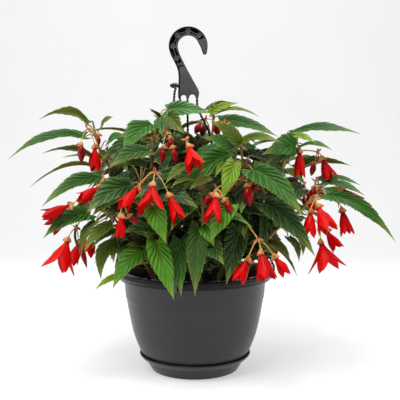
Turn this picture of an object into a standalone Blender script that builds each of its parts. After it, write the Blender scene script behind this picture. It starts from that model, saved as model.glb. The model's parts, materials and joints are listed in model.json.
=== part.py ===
"""Begonia hanging basket: pot on its saucer, soil, moulded hanger and a flowering plant.

Metres, +Z up, the front looks along +Y. The origin is the middle of the saucer's underside.
Sizes and places below are in millimetres.
"""
import itertools
import math
import random
from collections import namedtuple

import bmesh
import bpy
from mathutils import Matrix, Quaternion, Vector
from mathutils.bvhtree import BVHTree

MM = 0.001
GAP = 0.3                    # between pieces that touch

# pot and saucer
SIDES = 24
RIM_RADIUS = 125
RIM_TOP = 156
SKIRT_BOTTOM = 144
POT_WALL = 2
LEDGE = 114                  # height of the fine ledge round the body
DRAIN_RADIUS = 4
DRAIN_RING = 40
DRAIN_HOLES = 6
SAUCER_FLOOR = 2.4
SOIL_EDGE = 138
SOIL_CROWN = 142
ROOT_DEPTH = 35              # how far a stem stands in the soil

# hanger
HOOK = (-10.7, 511)          # x and z of the middle of the hook's bend
HOOK_OUTER = 30.9
HOOK_INNER = 16.6
HOOK_THICK = 5
POCKET_DEEP = 1.3
BOSS_RADIUS = 3.3
RIB_WIDE = 1.4
STRAND_RADIUS = 1.7
PEG_HEIGHT = 448.5
PEG_RADIUS = 1.9
EYELET_X = -30.5
EYELET_RADIUS = 4.6
CLIP_WIDE = 8
CLIP_THICK = 2
CLIP_TOP = 163

# plant
STEM_SIDES = 5
STALK_RADIUS = 0.95
FLOWER_STALK_RADIUS = 0.8
PEDUNCLE_RADIUS = 1.1
BLADE_THICK = 0.7
PETAL_THICK = 0.7
OVARY_LONG = 8
HUB_LONG = 6
CLEAR = 0.9                  # half thickness given to a blade while it looks for a free place

Stem = namedtuple("Stem", "path radius")
Leaf = namedtuple("Leaf", "stem base tip width arch turn")
Flower = namedtuple("Flower", "kind base tip spread petals")
Spray = namedtuple("Spray", "stem bract flowers")

# Stems of the front half: points from the soil up, and the radius at the soil.
STEMS = {
    "a": Stem([(-45, 12), (-95, 14, 235), (-130, 8, 307), (-150, -5, 345), (-161, -10, 390)], 3.2),
    "b": Stem([(-62, -32), (-95, -55, 205), (-122, -72, 245), (-150, -80, 262)], 3.0),
    "c": Stem([(-28, -5), (-55, -20, 220), (-66, -30, 300), (-62, -42, 360), (-56, -42, 394)], 3.6),
    "d": Stem([(-40, -62), (-58, -88, 205), (-74, -103, 260), (-76, -106, 330)], 3.2),
    "e": Stem([(8, 22), (14, 14, 240), (24, 26, 330), (30, 22, 398)], 3.2),
    "f": Stem([(38, -18), (62, -38, 225), (74, -58, 285), (69, -72, 348)], 3.4),
    "g": Stem([(8, -66), (8, -92, 195), (12, -106, 245), (10, -108, 285)], 3.0),
    "h": Stem([(52, 20), (98, 5, 235), (135, -10, 310), (149, -20, 352)], 3.2),
    "i": Stem([(72, -28), (112, -42, 210), (155, -45, 248), (182, -42, 275), (196, -40, 293)], 3.2),
}

# Stems of the back half stand by rule: direction in degrees from +X, reach and height.
BACK_STEMS = [("j", 28, 150, 322), ("k", 62, 125, 360), ("l", 100, 135, 335),
              ("m", 122, 120, 368), ("n", 155, 150, 330)]

# Leaves of the front half: stem, base, tip, width, arch and turn towards the viewer in degrees.
LEAVES = [
    Leaf("a", (-169, -10, 387), (-241, -30, 392), 26, 15, -24),
    Leaf("a", (-172, -30, 364), (-280, -60, 331), 26, 14, 22),
    Leaf("a", (-155, -40, 320), (-241, -90, 289), 24, 12, -16),
    Leaf("a", (-146, -12, 383), (-126, -30, 397), 16, 3, 25),
    Leaf("a", (-130, -50, 357), (-98, -82, 364), 16, 5, 20),
    Leaf("b", (-138, -60, 301), (-218, -110, 263), 27, 10, 25),
    Leaf("b", (-153, -85, 250), (-213, -118, 219), 24, 8, 25),
    Leaf("b", (-172, -82, 233), (-164, -105, 187), 14, 5, 0),
    Leaf("b", (-144, -90, 240), (-162, -108, 193), 16, 6, 10),
    Leaf("b", (-117, -110, 237), (-153, -138, 201), 18, 6, 22),
    Leaf("b", (-111, -98, 227), (-146, -116, 204), 14, 5, 15),
    Leaf("b", (-113, -92, 211), (-133, -112, 157), 20, 12, 30),
    Leaf("d", (-72, -105, 197), (-114, -135, 149), 28, 8, 15),
    Leaf("d", (-109, -108, 162), (-140, -128, 147), 10, 3, 20),
    Leaf("d", (-53, -128, 214), (-27, -158, 138), 27, 8, 0),
    Leaf("g", (-20, -113, 216), (-18, -143, 140), 24, 8, 0),
    Leaf("g", (7, -122, 233), (1, -148, 141), 26, 8, 0),
    Leaf("g", (64, -108, 228), (44, -142, 156), 28, 8, 0),
    Leaf("d", (-55, -142, 267), (-37, -172, 217), 24, 5, 0),
    Leaf("f", (58, -110, 325), (37, -142, 271), 22, 6, 10),
    Leaf("f", (50, -80, 338), (-20, -132, 282), 27, 9, 25),
    Leaf("f", (43, -100, 325), (29, -118, 305), 9, 3, 0),
    Leaf("g", (21, -122, 304), (-7, -138, 288), 12, 3, 15),
    Leaf("g", (51, -152, 268), (22, -182, 217), 25, 6, 5),
    Leaf("f", (84, -108, 315), (148, -162, 253), 35, 8, 20),
    Leaf("i", (102, -98, 266), (166, -142, 197), 32, 8, 22),
    Leaf("h", (152, -55, 351), (96, -110, 337), 28, 6, 45),
    Leaf("h", (144, -68, 344), (101, -98, 321), 22, 5, 35),
    Leaf("h", (153, -20, 370), (249, -60, 369), 28, 9, 26),
    Leaf("h", (143, -55, 366), (178, -86, 354), 15, 4, 30),
    Leaf("h", (159, -48, 349), (203, -80, 344), 16, 7, 24),
    Leaf("i", (192, -30, 299), (251, -60, 292), 20, 6, 22),
    Leaf("i", (193, -50, 291), (246, -92, 273), 20, 6, 22),
    Leaf("i", (194, -68, 278), (288, -102, 212), 27, 13, 25),
    Leaf("i", (203, -18, 283), (265, -40, 259), 20, 7, -15),
    Leaf("i", (111, -58, 206), (142, -78, 179), 14, 8, 15),
    Leaf("i", (140, -70, 214), (153, -88, 180), 14, 6, 10),
    Leaf("i", (156, -78, 214), (158, -92, 190), 9, 3, 10),
    Leaf("c", (-62, -70, 381), (-100, -132, 336), 32, 8, 15),
    Leaf("c", (-55, -38, 396), (-68, -60, 407), 12, 2, 20),
    Leaf("c", (-51, -58, 393), (-46, -92, 363), 16, 4, 10),
    Leaf("c", (-43, -12, 409), (26, -42, 401), 23, 5, 25),
    Leaf("c", (-42, -30, 398), (-15, -72, 368), 26, 5, 25),
    Leaf("e", (20, -14, 409), (59, 0, 421), 17, 6, -25),
    Leaf("e", (24, -24, 403), (69, -12, 420), 14, 4, 20),
    Leaf("e", (34, -10, 403), (97, -50, 396), 17, 8, 12),
    Leaf("f", (38, -50, 389), (121, -92, 364), 24, 6, 24),
    Leaf("f", (63, -90, 351), (24, -112, 385), 22, 4, 30),
    Leaf("f", (66, -80, 354), (123, -112, 355), 20, 8, 22),
    Leaf("f", (53, -100, 344), (13, -132, 361), 20, 4, 30),
    Leaf("c", (-76, -98, 337), (-99, -132, 356), 20, 4, 30),
    Leaf("d", (-66, -118, 341), (-115, -162, 318), 24, 6, 25),
    Leaf("d", (-68, -120, 320), (-98, -142, 322), 14, 4, 25),
    Leaf("d", (-90, -120, 293), (-146, -162, 257), 30, 7, 30),
    Leaf("d", (-98, -98, 277), (-144, -128, 250), 22, 6, 22),
    Leaf("d", (-59, -122, 231), (-99, -148, 229), 18, 5, 30),
    Leaf("g", (-13, -128, 321), (-40, -152, 296), 11, 4, 20),
    Leaf("g", (-8, -128, 304), (-31, -148, 293), 10, 3, 15),
    Leaf("d", (-34, -88, 264), (-39, -112, 208), 16, 4, 20),
    Leaf("g", (13, -122, 234), (28, -142, 209), 17, 4, 10),
    Leaf("i", (101, -58, 251), (93, -82, 179), 20, 6, 10),
    Leaf("f", (76, -88, 300), (108, -112, 284), 24, 5, 30),
]

# Flower sprays of the front half: stem, bract, then each bud or bloom from its foot to its tips.
SPRAYS = [
    Spray("a", (-163, -45, 378), [Flower("bud", (-170, -60, 352), (-170, -62, 325), 6, 0),
                                  Flower("bloom", (-152, -48, 348), (-151, -52, 311), 11, 4),
                                  Flower("bud", (-147, -42, 366), (-146, -44, 352), 3, 0)]),
    Spray("b", (-165, -92, 274), [Flower("bloom", (-179, -112, 265), (-215, -124, 247), 13, 4),
                                  Flower("bloom", (-178, -92, 255), (-211, -104, 229), 14, 4)]),
    Spray("b", (-129, -112, 303), [Flower("bloom", (-134, -130, 291), (-158, -147, 273), 13, 4)]),
    Spray("b", (-171, -97, 232), [Flower("bloom", (-181, -115, 214), (-193, -126, 172), 34, 5),
                                  Flower("bud", (-168, -88, 209), (-157, -92, 172), 4, 0)]),
    Spray("d", (-54, -136, 313), [Flower("bloom", (-78, -158, 291), (-98, -172, 264), 14, 4),
                                  Flower("bloom", (-56, -156, 294), (-59, -172, 257), 36, 4),
                                  Flower("bloom", (-33, -154, 279), (-19, -168, 247), 12, 4)]),
    Spray("d", (-96, -152, 270), [Flower("bloom", (-99, -165, 251), (-99, -170, 224), 8, 4),
                                  Flower("bud", (-86, -157, 252), (-76, -162, 243), 4, 0)]),
    Spray("c", (-41, -80, 369), [Flower("bud", (-35, -86, 360), (-35, -89, 344), 5, 0),
                                 Flower("bud", (-46, -90, 346), (-47, -93, 324), 5, 0),
                                 Flower("bud", (-31, -92, 346), (-27, -96, 324), 5, 0)]),
    Spray("g", (-11, -118, 358), [Flower("bloom", (-8, -130, 347), (3, -146, 316), 27, 4)]),
    Spray("e", (16, 12, 396), [Flower("bud", (8, 12, 388), (0, 10, 372), 6, 0),
                               Flower("bud", (14, 20, 384), (11, 19, 368), 6, 0),
                               Flower("bud", (33, 12, 386), (38, 10, 368), 6, 0)]),
    Spray("f", (42, -60, 383), [Flower("bud", (49, -62, 378), (64, -64, 369), 5, 0)]),
    Spray("f", (31, -136, 289), [Flower("bloom", (29, -158, 279), (24, -172, 246), 20, 4),
                                 Flower("bud", (22, -150, 280), (13, -155, 268), 5, 0),
                                 Flower("bud", (43, -154, 273), (52, -160, 257), 5, 0)]),
    Spray("f", (69, -102, 300), [Flower("bud", (75, -115, 291), (79, -119, 264), 8, 0),
                                 Flower("bud", (57, -110, 296), (48, -114, 284), 4, 0),
                                 Flower("bud", (82, -108, 294), (92, -110, 287), 4, 0)]),
    Spray("f", (52, -62, 328), [Flower("bud", (42, -66, 320), (25, -70, 311), 6, 0)]),
    Spray("h", (155, -50, 356), [Flower("bloom", (158, -56, 341), (158, -59, 302), 9, 4)]),
    Spray("h", (187, -45, 342), [Flower("bud", (182, -45, 323), (177, -48, 306), 5, 0),
                                 Flower("bloom", (194, -52, 330), (205, -58, 298), 18, 4)]),
    Spray("i", (183, -52, 298), [Flower("bud", (180, -56, 287), (176, -58, 272), 6, 0),
                                 Flower("bud", (188, -56, 285), (195, -58, 273), 6, 0)]),
    Spray("i", (212, -62, 293), [Flower("bloom", (221, -70, 285), (245, -79, 264), 14, 4)]),
    Spray("i", (180, -92, 276), [Flower("bloom", (165, -116, 254), (161, -124, 219), 14, 4),
                                 Flower("bloom", (176, -118, 262), (189, -132, 229), 24, 5)]),
    Spray("i", (211, -80, 268), [Flower("bloom", (217, -85, 254), (224, -92, 219), 13, 4)]),
    Spray("i", (184, -92, 233), [Flower("bloom", (182, -110, 210), (190, -120, 172), 38, 5),
                                 Flower("bloom", (194, -90, 224), (209, -96, 199), 14, 4)]),
    Spray("f", (87, -150, 221), [Flower("bloom", (71, -163, 193), (58, -170, 164), 15, 4),
                                 Flower("bloom", (91, -168, 203), (97, -178, 169), 24, 5),
                                 Flower("bloom", (112, -152, 195), (127, -158, 172), 10, 4)]),
]


def mm(point):
    """A place in millimetres as a vector in metres."""
    return Vector(point) * MM


# Plain shapes: each function gives a list of points and a list of faces.

def lathe(profile, sides=SIDES):
    """Turn a closed outline of (radius, height) round the Z axis; it may start and end on it."""
    points, rings, faces = [], [], []
    for radius, height in profile:
        count = sides if radius > 0 else 1
        rings.append(list(range(len(points), len(points) + count)))
        for k in range(count):
            angle = math.tau * k / sides
            points.append(mm((radius * math.cos(angle), radius * math.sin(angle), height)))
    for low, high in zip(rings, rings[1:]):
        for k in range(sides):
            corners = [low[k % len(low)], low[(k + 1) % len(low)],
                       high[(k + 1) % len(high)], high[k % len(high)]]
            faces.append(list(dict.fromkeys(corners)))
    return points, faces


def frames_along(path, side=None):
    """Side vectors that follow a path without twisting, one pair for each point."""
    tangents = []
    for k in range(len(path)):
        ahead = path[min(k + 1, len(path) - 1)]
        behind = path[max(k - 1, 0)]
        tangents.append((ahead - behind).normalized())
    if side is None:
        side = Vector((0, 0, 1)) if abs(tangents[0].x) > 0.8 else Vector((1, 0, 0))
    frames = []
    for tangent in tangents:
        side = (side - tangent * side.dot(tangent)).normalized()
        frames.append((side, tangent.cross(side)))
    return frames


def tube(path, radii, sides):
    """A round bar along a path in metres; the radii are in millimetres."""
    points, faces = [], []
    for place, radius, (side, across) in zip(path, radii, frames_along(path)):
        for k in range(sides):
            angle = math.tau * k / sides
            points.append(place + (side * math.cos(angle) + across * math.sin(angle)) * radius * MM)
    for row in range(len(path) - 1):
        start = row * sides
        for k in range(sides):
            after = (k + 1) % sides
            faces.append([start + k, start + after, start + sides + after, start + sides + k])
    faces.append(list(range(sides))[::-1])
    faces.append([len(points) - sides + k for k in range(sides)])
    return points, faces


def plate(outline, low, high):
    """An outline of (x, z) pulled straight along Y."""
    count = len(outline)
    points = [mm((x, low, z)) for x, z in outline] + [mm((x, high, z)) for x, z in outline]
    faces = [list(range(count)), [count + k for k in range(count)][::-1]]
    for k in range(count):
        after = (k + 1) % count
        faces.append([k, count + k, count + after, after])
    return points, faces


def block(low, high):
    """A box between two corners."""
    outline = [(low[0], low[2]), (high[0], low[2]), (high[0], high[2]), (low[0], high[2])]
    return plate(outline, low[1], high[1])


def arc(centre, radius, start, end, steps):
    """Points on a round stretch, angles in degrees."""
    angles = [math.radians(start + (end - start) * k / steps) for k in range(steps + 1)]
    return [(centre[0] + radius * math.cos(a), centre[1] + radius * math.sin(a)) for a in angles]


def strip(middle, edge):
    """Triangles between a rib and one edge, which share their first and last points."""
    faces = []
    i = j = 0
    while i < len(middle) - 1 or j < len(edge) - 1:
        next_rib = middle[i + 1][0] if i < len(middle) - 1 else 2
        next_edge = edge[j + 1][0] if j < len(edge) - 1 else 2
        if next_edge <= next_rib:
            corners = [middle[i][1], edge[j][1], edge[j + 1][1]]
            j += 1
        else:
            corners = [middle[i][1], edge[j][1], middle[i + 1][1]]
            i += 1
        if len(set(corners)) == 3:
            faces.append(corners)
    return faces


def blade(shape, stations, rib_stations, thick):
    """A thin closed blade: an outline either side of a rib, split alike on both faces.

    shape(t, share) gives a point and the direction that the face looks; stations pair a place
    along the rib with a share of the width there. Points 0 and count are the foot of the blade.
    """
    along = (0.0, *rib_stations, 1.0)
    places = [shape(t, 0) for t in along]
    places += [shape(t, sign * share) for sign in (1, -1) for t, share in stations]
    count = len(places)
    points = [p + n * thick * MM for p, n in places] + [p - n * thick * MM for p, n in places]
    middle = [(t, k) for k, t in enumerate(along)]
    faces = []
    for number in range(2):
        first = len(along) + number * len(stations)
        edge = [middle[0]] + [(t, first + k) for k, (t, share) in enumerate(stations)] + [middle[-1]]
        for corners in strip(middle, edge):
            faces += [corners, [count + c for c in corners]]
        for (t, near), (u, far) in zip(edge, edge[1:]):
            faces += [[near, count + near, count + far], [near, count + far, far]]
    return points, faces


# The plant's own shapes.

def upward(axis, place):
    """The direction square to an axis that looks up and away from the middle of the pot."""
    outward = Vector((place.x, place.y, 0))
    wanted = Vector((0, 0, 1)) + outward.normalized() * 0.6
    return (wanted - axis * wanted.dot(axis)).normalized()


def leaf_width(t):
    """Share of the full half width along a long pointed leaf."""
    wave = math.sin(math.pi * t ** 0.55)
    return wave if t < 0.28 else wave ** 1.3


def leaf_shape(leaf):
    """The curved surface of a leaf, as a function of the place along it and across it."""
    base, tip = mm(leaf.base), mm(leaf.tip)
    chord = (tip - base).normalized()
    up = upward(chord, (base + tip) / 2)
    across = chord.cross(up)
    lean = math.radians(leaf.turn) * (1 if chord.x >= 0 else -1)
    roll = Quaternion(chord, lean)
    face, across = roll @ up, roll @ across

    def shape(t, side):
        lift = 4 * leaf.arch * (t ** 0.85) * (1 - t) * MM
        wide = leaf.width / 2 * leaf_width(t) * side * (1.12 if side > 0 else 0.9) * MM
        fold = abs(wide) * 0.22
        return base.lerp(tip, t) + up * lift + across * wide + face * fold, face

    return shape


LEAF_EDGE = [(0.29, 1.08), (0.37, 0.88), (0.6, 1.12), (0.68, 0.84)]
SMALL_LEAF_EDGE = [(0.15, 0.95), (0.5, 1.08), (0.58, 0.85)]
SMALL_LEAF = 50              # shorter leaves get fewer teeth


def leaf_blade(leaf, thick):
    """The toothed blade of one leaf."""
    long = (mm(leaf.tip) - mm(leaf.base)).length / MM
    edge = SMALL_LEAF_EDGE if long < SMALL_LEAF else LEAF_EDGE
    return blade(leaf_shape(leaf), edge, (0.45,), thick)


def bend(points, count):
    """A smooth curve through a few places, as count + 1 points for each stretch."""
    ends = [points[0] * 2 - points[1]] + points + [points[-1] * 2 - points[-2]]
    path = []
    for k in range(1, len(ends) - 2):
        p0, p1, p2, p3 = ends[k - 1:k + 3]
        for step in range(count):
            t = step / count
            path.append(0.5 * (2 * p1 + (p2 - p0) * t + (2 * p0 - 5 * p1 + 4 * p2 - p3) * t * t
                               + (3 * p1 - p0 - 3 * p2 + p3) * t ** 3))
    path.append(points[-1])
    return path


def stem_path(stem):
    """A stem's middle line, straight where it stands in the soil."""
    x, y = stem.path[0]
    foot = [mm((x, y, SOIL_EDGE - ROOT_DEPTH)), mm((x, y, SOIL_CROWN + 3))]
    return foot[:1] + bend([foot[1]] + [mm(p) for p in stem.path[1:]], 2)


def stem_tube(stem, extra=0.0):
    """The stem as a bar that thins towards its top."""
    path = stem_path(stem)
    last = len(path) - 1
    radii = [stem.radius * (1 - 0.5 * max(k - 1, 0) / last) + extra for k in range(last + 1)]
    tip = path[-1] + (path[-1] - path[-2]).normalized() * 3 * MM
    return tube(path + [tip], radii + [radii[-1] * 0.5], STEM_SIDES)


def nearest_on(path, place, drop=14):
    """The point of a stem that a stalk to a place would leave from."""
    wanted = place - Vector((0, 0, drop * MM))
    return min(path[2:], key=lambda p: (p - wanted).length)


def stalk_path(leaf, path, sway):
    """The stalk's middle line, from the leaf back to the stem."""
    base = mm(leaf.base)
    root = nearest_on(path, base)
    rise = Vector((0, 0, 0.16 * (base - root).length))
    return [base, root.lerp(base, 0.5) + rise + mm(sway), root]


def leaf_stalk(leaf, path, sway):
    """The leaf's stalk alone."""
    return tube(stalk_path(leaf, path, sway), [STALK_RADIUS] * 3, 3)


def leaf_with_stalk(leaf, path, sway):
    """Blade and stalk in one skin: the stalk's three corners start at the blade's foot."""
    points, faces = leaf_blade(leaf, BLADE_THICK / 2)
    count = len(points) // 2
    half = (count - 3) // 2
    line = stalk_path(leaf, path, sway)
    chord = (mm(leaf.tip) - line[0]).normalized()
    across = points[3] - points[3 + half]
    rings = []
    for place, (side, up) in zip(line, frames_along([line[0] + chord * MM] + line, across)[1:]):
        ring = [up, side * 0.87 - up * 0.5, side * -0.87 - up * 0.5]
        rings.append([place + arm * STALK_RADIUS * MM for arm in ring])
    points[0], points[count] = rings[0][0], rings[0][1]
    left = len(points)
    points.append(rings[0][2])
    minus_side = set(range(3 + half, count)) | set(range(count + 3 + half, 2 * count))
    faces = [[left if c == count and minus_side & set(face) else c for c in face] for face in faces]
    faces.append([count, left, count + 1])
    corners = [0, count, left]
    for ring in rings[1:]:
        fresh = [len(points) + k for k in range(3)]
        points += ring
        for k in range(3):
            after = (k + 1) % 3
            faces.append([corners[k], corners[after], fresh[after], fresh[k]])
        corners = fresh
    faces.append(corners)
    return points, faces


def hub_direction(spray, path):
    """The way that a spray's stalk runs where it meets the bract."""
    bract = mm(spray.bract)
    root = nearest_on(path, bract, 30)
    return ((bract - root).normalized() + Vector((0, 0, -0.4))).normalized()


def hub(spray, path):
    """The small swollen bract that a spray's flower stalks spring from."""
    bract = mm(spray.bract)
    heading = hub_direction(spray, path) * HUB_LONG * MM
    return tube([bract - heading / 2, bract, bract + heading / 2], [1.2, 2.4, 0.8], 3)


def peduncle(spray, path, sway):
    """The stalk that carries a spray, from the stem to just short of the bract."""
    bract = mm(spray.bract)
    root = nearest_on(path, bract, 30)
    heading = hub_direction(spray, path)
    end = bract - heading * (HUB_LONG / 2 + GAP) * MM
    span = (end - root).length
    middle = root.lerp(end, 0.5) + Vector((0, 0, 0.12 * span)) + mm(sway)
    near = end - heading * min(8 * MM, span / 4)
    return tube([root, middle, near, end], [PEDUNCLE_RADIUS] * 4, 3)


def bud(spray, flower):
    """A flower's thin stalk, its ovary and its closed pointed petals."""
    bract, base, tip = mm(spray.bract), mm(flower.base), mm(flower.tip)
    behind = base - (tip - base).normalized() * OVARY_LONG * MM
    thin, full = FLOWER_STALK_RADIUS, flower.spread * 0.9 + 0.4
    steps = [(bract, thin), (behind, thin), (behind.lerp(base, 0.55), 2.6), (base, 1.3),
             (base.lerp(tip, 0.45), full), (tip, 0.4)]
    return tube([place for place, radius in steps], [radius for place, radius in steps], 4)


def petal_width(t):
    """Share of the full half width along a petal."""
    return math.sin(math.pi * t ** 0.8) ** 0.8


PETAL_EDGE = (0.46,)
OPEN_PETAL_EDGE = (0.25, 0.65)
OPEN_SPREAD = 20             # flowers that open wider get fuller petals


def bloom(spray, flower, thick):
    """A flower's stalk, its swollen ovary and its pointed petals, in one skin.

    Each petal grows from one edge of the ring where the ovary ends, in an outer and an inner layer.
    """
    bract, base, tip = mm(spray.bract), mm(flower.base), mm(flower.tip)
    axis, long = (tip - base).normalized(), (tip - base).length
    behind = base - axis * OVARY_LONG * MM
    thin, neck, count = FLOWER_STALK_RADIUS, 2.5, flower.petals
    steps = [(bract, thin), (behind, thin * 1.3), (behind.lerp(base, 0.55), 4.4), (base, neck)]
    points, faces = tube([place for place, radius in steps], [radius for place, radius in steps], count)
    faces.pop()
    outer_ring = list(range(len(points) - count, len(points)))
    inner_ring = [len(points) + k for k in range(count)]
    shrink = (neck - 2 * thick) / neck
    points += [base + (points[k] - base) * shrink for k in outer_ring]
    faces.append(inner_ring)
    open_out = long * math.tan(math.radians(flower.spread))
    edge = OPEN_PETAL_EDGE if flower.spread > OPEN_SPREAD else PETAL_EDGE
    wide = min(6.4, 0.2 * long / MM)
    for k in range(count):
        after = (k + 1) % count
        radial = ((points[outer_ring[k]] + points[outer_ring[after]]) / 2 - base).normalized()
        across = (points[outer_ring[after]] - points[outer_ring[k]]).normalized()
        outer = [(outer_ring[k], outer_ring[after])]
        inner = [(inner_ring[k], inner_ring[after])]
        for t in edge + (1,):
            half = wide * petal_width(t) * MM if t < 1 else 0
            reach = max(neck * MM + open_out * t ** 1.5,
                        half * (1 / math.tan(math.pi / count) + 0.2) + 2 * thick * MM) + 0.3 * MM
            middle = base + axis * long * t + radial * (reach - 0.2 * half)
            for layer, shift in ((outer, 0), (inner, 2 * thick * MM)):
                sides = (-half, half) if t < 1 else (0,)
                layer.append(tuple(len(points) + j for j in range(len(sides))))
                points += [middle + across * s - radial * shift for s in sides]
        for layer in (outer, inner):
            for (a, b), ahead in zip(layer, layer[1:]):
                faces += [[a, b, ahead[-1]]] + ([[a, ahead[1], ahead[0]]] if len(ahead) == 2 else [])
        for side in (0, -1):
            for row in range(len(outer) - 1):
                near, far = outer[row][side], outer[row + 1][side]
                near_in, far_in = inner[row][side], inner[row + 1][side]
                faces += [[near, far, far_in], [near, far_in, near_in]]
    return points, faces


def flower_shape(spray, flower, thick=PETAL_THICK / 2):
    """A bud or a bloom with its stalk."""
    return bud(spray, flower) if flower.kind == "bud" else bloom(spray, flower, thick)


# Finding a free place for every leaf and spray.

class Places:
    """What already stands in the basket, by node."""

    def __init__(self):
        self.items = []

    def box(self, points):
        low = [min(p[k] for p in points) for k in range(3)]
        high = [max(p[k] for p in points) for k in range(3)]
        return low, high

    def add(self, node, shapes):
        for points, faces in shapes:
            self.items.append((node, self.box(points), BVHTree.FromPolygons(points, faces)))

    def is_free(self, node, shapes):
        """Whether shapes meet nothing; what stands in the named node doesn't count."""
        for points, faces in shapes:
            low, high = self.box(points)
            tree = None
            for other, (other_low, other_high), other_tree in self.items:
                if other == node:
                    continue
                if any(low[k] > other_high[k] or high[k] < other_low[k] for k in range(3)):
                    continue
                tree = tree or BVHTree.FromPolygons(points, faces)
                if tree.overlap(other_tree):
                    return False
        return True


def moved(point, dx=0, dy=0, dz=0):
    """A place shifted by a few millimetres."""
    return (point[0] + dx, point[1] + dy, point[2] + dz)


def leaf_choices(leaf, shrinks):
    """The leaf as drawn, then ever larger changes of depth, turn, height and length."""
    depths = (0, 8, -8, 16, -16, 26, -26, 38, -38)
    turns = (0, 18, -18)
    lifts = (0, 5, -5, 10)
    options = sorted(itertools.product(depths, depths, turns, lifts),
                     key=lambda o: abs(o[0]) + abs(o[1]) * 0.7 + abs(o[2]) * 0.6 + abs(o[3]) * 2)
    for shrink in shrinks:
        for near, far, turn, lift in options[:160]:
            base = moved(leaf.base, dy=near * 0.6, dz=lift * 0.6)
            tip = moved(leaf.tip, dy=far, dz=lift)
            tip = tuple(b + (t - b) * shrink for b, t in zip(base, tip))
            yield leaf._replace(base=base, tip=tip, turn=leaf.turn + turn, width=leaf.width * shrink)


SWAYS = [(0, 0, 0), (0, 9, 0), (0, -9, 0), (0, 0, -9), (9, 0, 4), (-9, 0, 4), (0, 18, -4), (0, -18, -4)]


def settle_leaf(leaf, path, places):
    """The first free version of a leaf and its stalk, or None.

    A leaf clears its own stem's leaves too where it can, and otherwise grows through them.
    """
    for skipped, shrinks in ((None, (1.0,)), (leaf.stem, (1.0, 0.8, 0.6))):
        for choice in leaf_choices(leaf, shrinks):
            shape = leaf_blade(choice, CLEAR)
            if not places.is_free(skipped, [shape]):
                continue
            for sway in SWAYS:
                stalk = leaf_stalk(choice, path, sway)
                if places.is_free(choice.stem, [stalk]):
                    places.add(choice.stem, [shape, stalk])
                    return choice, sway
    return None


def shifted_spray(spray, dx, dy, dz):
    """A whole spray moved by a few millimetres."""
    flowers = [f._replace(base=moved(f.base, dx, dy, dz), tip=moved(f.tip, dx, dy, dz))
               for f in spray.flowers]
    return spray._replace(bract=moved(spray.bract, dx, dy, dz), flowers=flowers)


def spray_proxies(spray, path):
    """The spray's bract and flowers, with petals a little fatter than they are made."""
    return [hub(spray, path)] + [flower_shape(spray, f, CLEAR) for f in spray.flowers]


def settle_spray(name, spray, path, places):
    """The first free version of a spray and of the stalk that carries it, or None."""
    steps = (0, 5, -5, 10, -10, 16, -16, 24, -24)
    options = sorted(itertools.product((0, 4, -4), steps, (0, 5, -5, 10)),
                     key=lambda o: abs(o[0]) * 2 + abs(o[1]) + abs(o[2]) * 2)
    for dx, dy, dz in options:
        choice = shifted_spray(spray, dx, dy, dz)
        shapes = spray_proxies(choice, path)
        if not places.is_free(name, shapes):
            continue
        for sway in SWAYS:
            stalk = peduncle(choice, path, sway)
            if not places.is_free(choice.stem, [stalk]):
                continue
            trial = Places()
            trial.add(choice.stem, [stalk])
            if trial.is_free(name, shapes):
                places.add(name, shapes)
                places.add(choice.stem, [stalk])
                return choice, sway
    return None


# The back half, by rule.

def polar(direction, reach, height):
    """A place at a direction in degrees from +X, a reach from the pot's axis and a height."""
    angle = math.radians(direction)
    return (reach * math.cos(angle), reach * math.sin(angle), height)


def back_stem(direction, reach, height):
    """A stem that leans out over the rim at the back."""
    foot = polar(direction, 52, 0)[:2]
    return Stem([foot, polar(direction, 0.55 * reach, 0.62 * height),
                 polar(direction + 2, 0.82 * reach, 0.85 * height),
                 polar(direction + 3, reach, height)], 3.2)


def back_leaves(name, direction, reach, height, draw):
    """Leaves in three tiers up a back stem; the low ones hang over the rim."""
    leaves = []
    tiers = [(0.62, 0.60, 2, 58, -46), (0.80, 0.78, 3, 78, -30), (0.98, 0.98, 3, 84, 6)]
    for share, level, count, long, rise in tiers:
        for k in range(count):
            swing = (k - (count - 1) / 2) * 46 + draw.uniform(-9, 9)
            heading = direction + swing
            start = polar(direction + swing * 0.32, share * reach + 26, level * height + 6 * k)
            reach_out = long * draw.uniform(0.9, 1.12)
            far = polar(heading, reach_out, rise * draw.uniform(0.6, 1.3))
            tip = tuple(a + b for a, b in zip(start, far))
            leaves.append(Leaf(name, start, tip, draw.uniform(22, 30), draw.uniform(6, 12),
                               draw.uniform(-24, 24)))
    return leaves


def back_sprays(name, direction, reach, height, draw):
    """Two sprays on each back stem, one high and one low."""
    sprays = []
    for side, share, level in ((-1, 1.05, 0.9), (1, 1.02, 0.66)):
        heading = direction + side * draw.uniform(13, 19)
        bract = polar(heading, reach * share + 22, height * level)
        flowers = []
        for k in (-1, 1):
            base = polar(heading + 7 * k, reach * share + 28 + 4 * k, height * level - 17 - 4 * k)
            out = polar(heading + 14 * k, draw.uniform(8, 14), -34)
            tip = tuple(a + b for a, b in zip(base, out))
            if k > 0 and level > 0.8:
                tip = tuple(a + 0.6 * b for a, b in zip(base, out))
                flowers.append(Flower("bud", base, tip, 5, 0))
            else:
                flowers.append(Flower("bloom", base, tip, draw.uniform(10, 26), 4))
        sprays.append(Spray(name, bract, flowers))
    return sprays


STRANDS = {
    "right": ([(3.2, 0, 432), (5, 0, 412), (20.7, 0, 378), (33.5, 0, 343), (80, 0, 255), (117, 0, 180)], 0),
    "left": ([(-24.5, 0, 432), (-27, 0, 415), (-67, 0, 340), (-80, 0, 312), (-97, 0, 294),
              (-112, 0, 245), (-122, 0, 185)], 180),
    "back": ([(-11.8, 0, 432), (-11.8, 2, 410), (-11, 50, 320), (-5, 95, 225), (0, 117, 182)], 90),
}
FOURTH_STRAND = [(EYELET_X, 0, 445.5), (-33, -5, 428), (-36, -38, 350), (-36, -70, 285),
                 (-32, -104, 210), (-27.5, -119, 176)]
FOURTH_DIRECTION = 257


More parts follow.
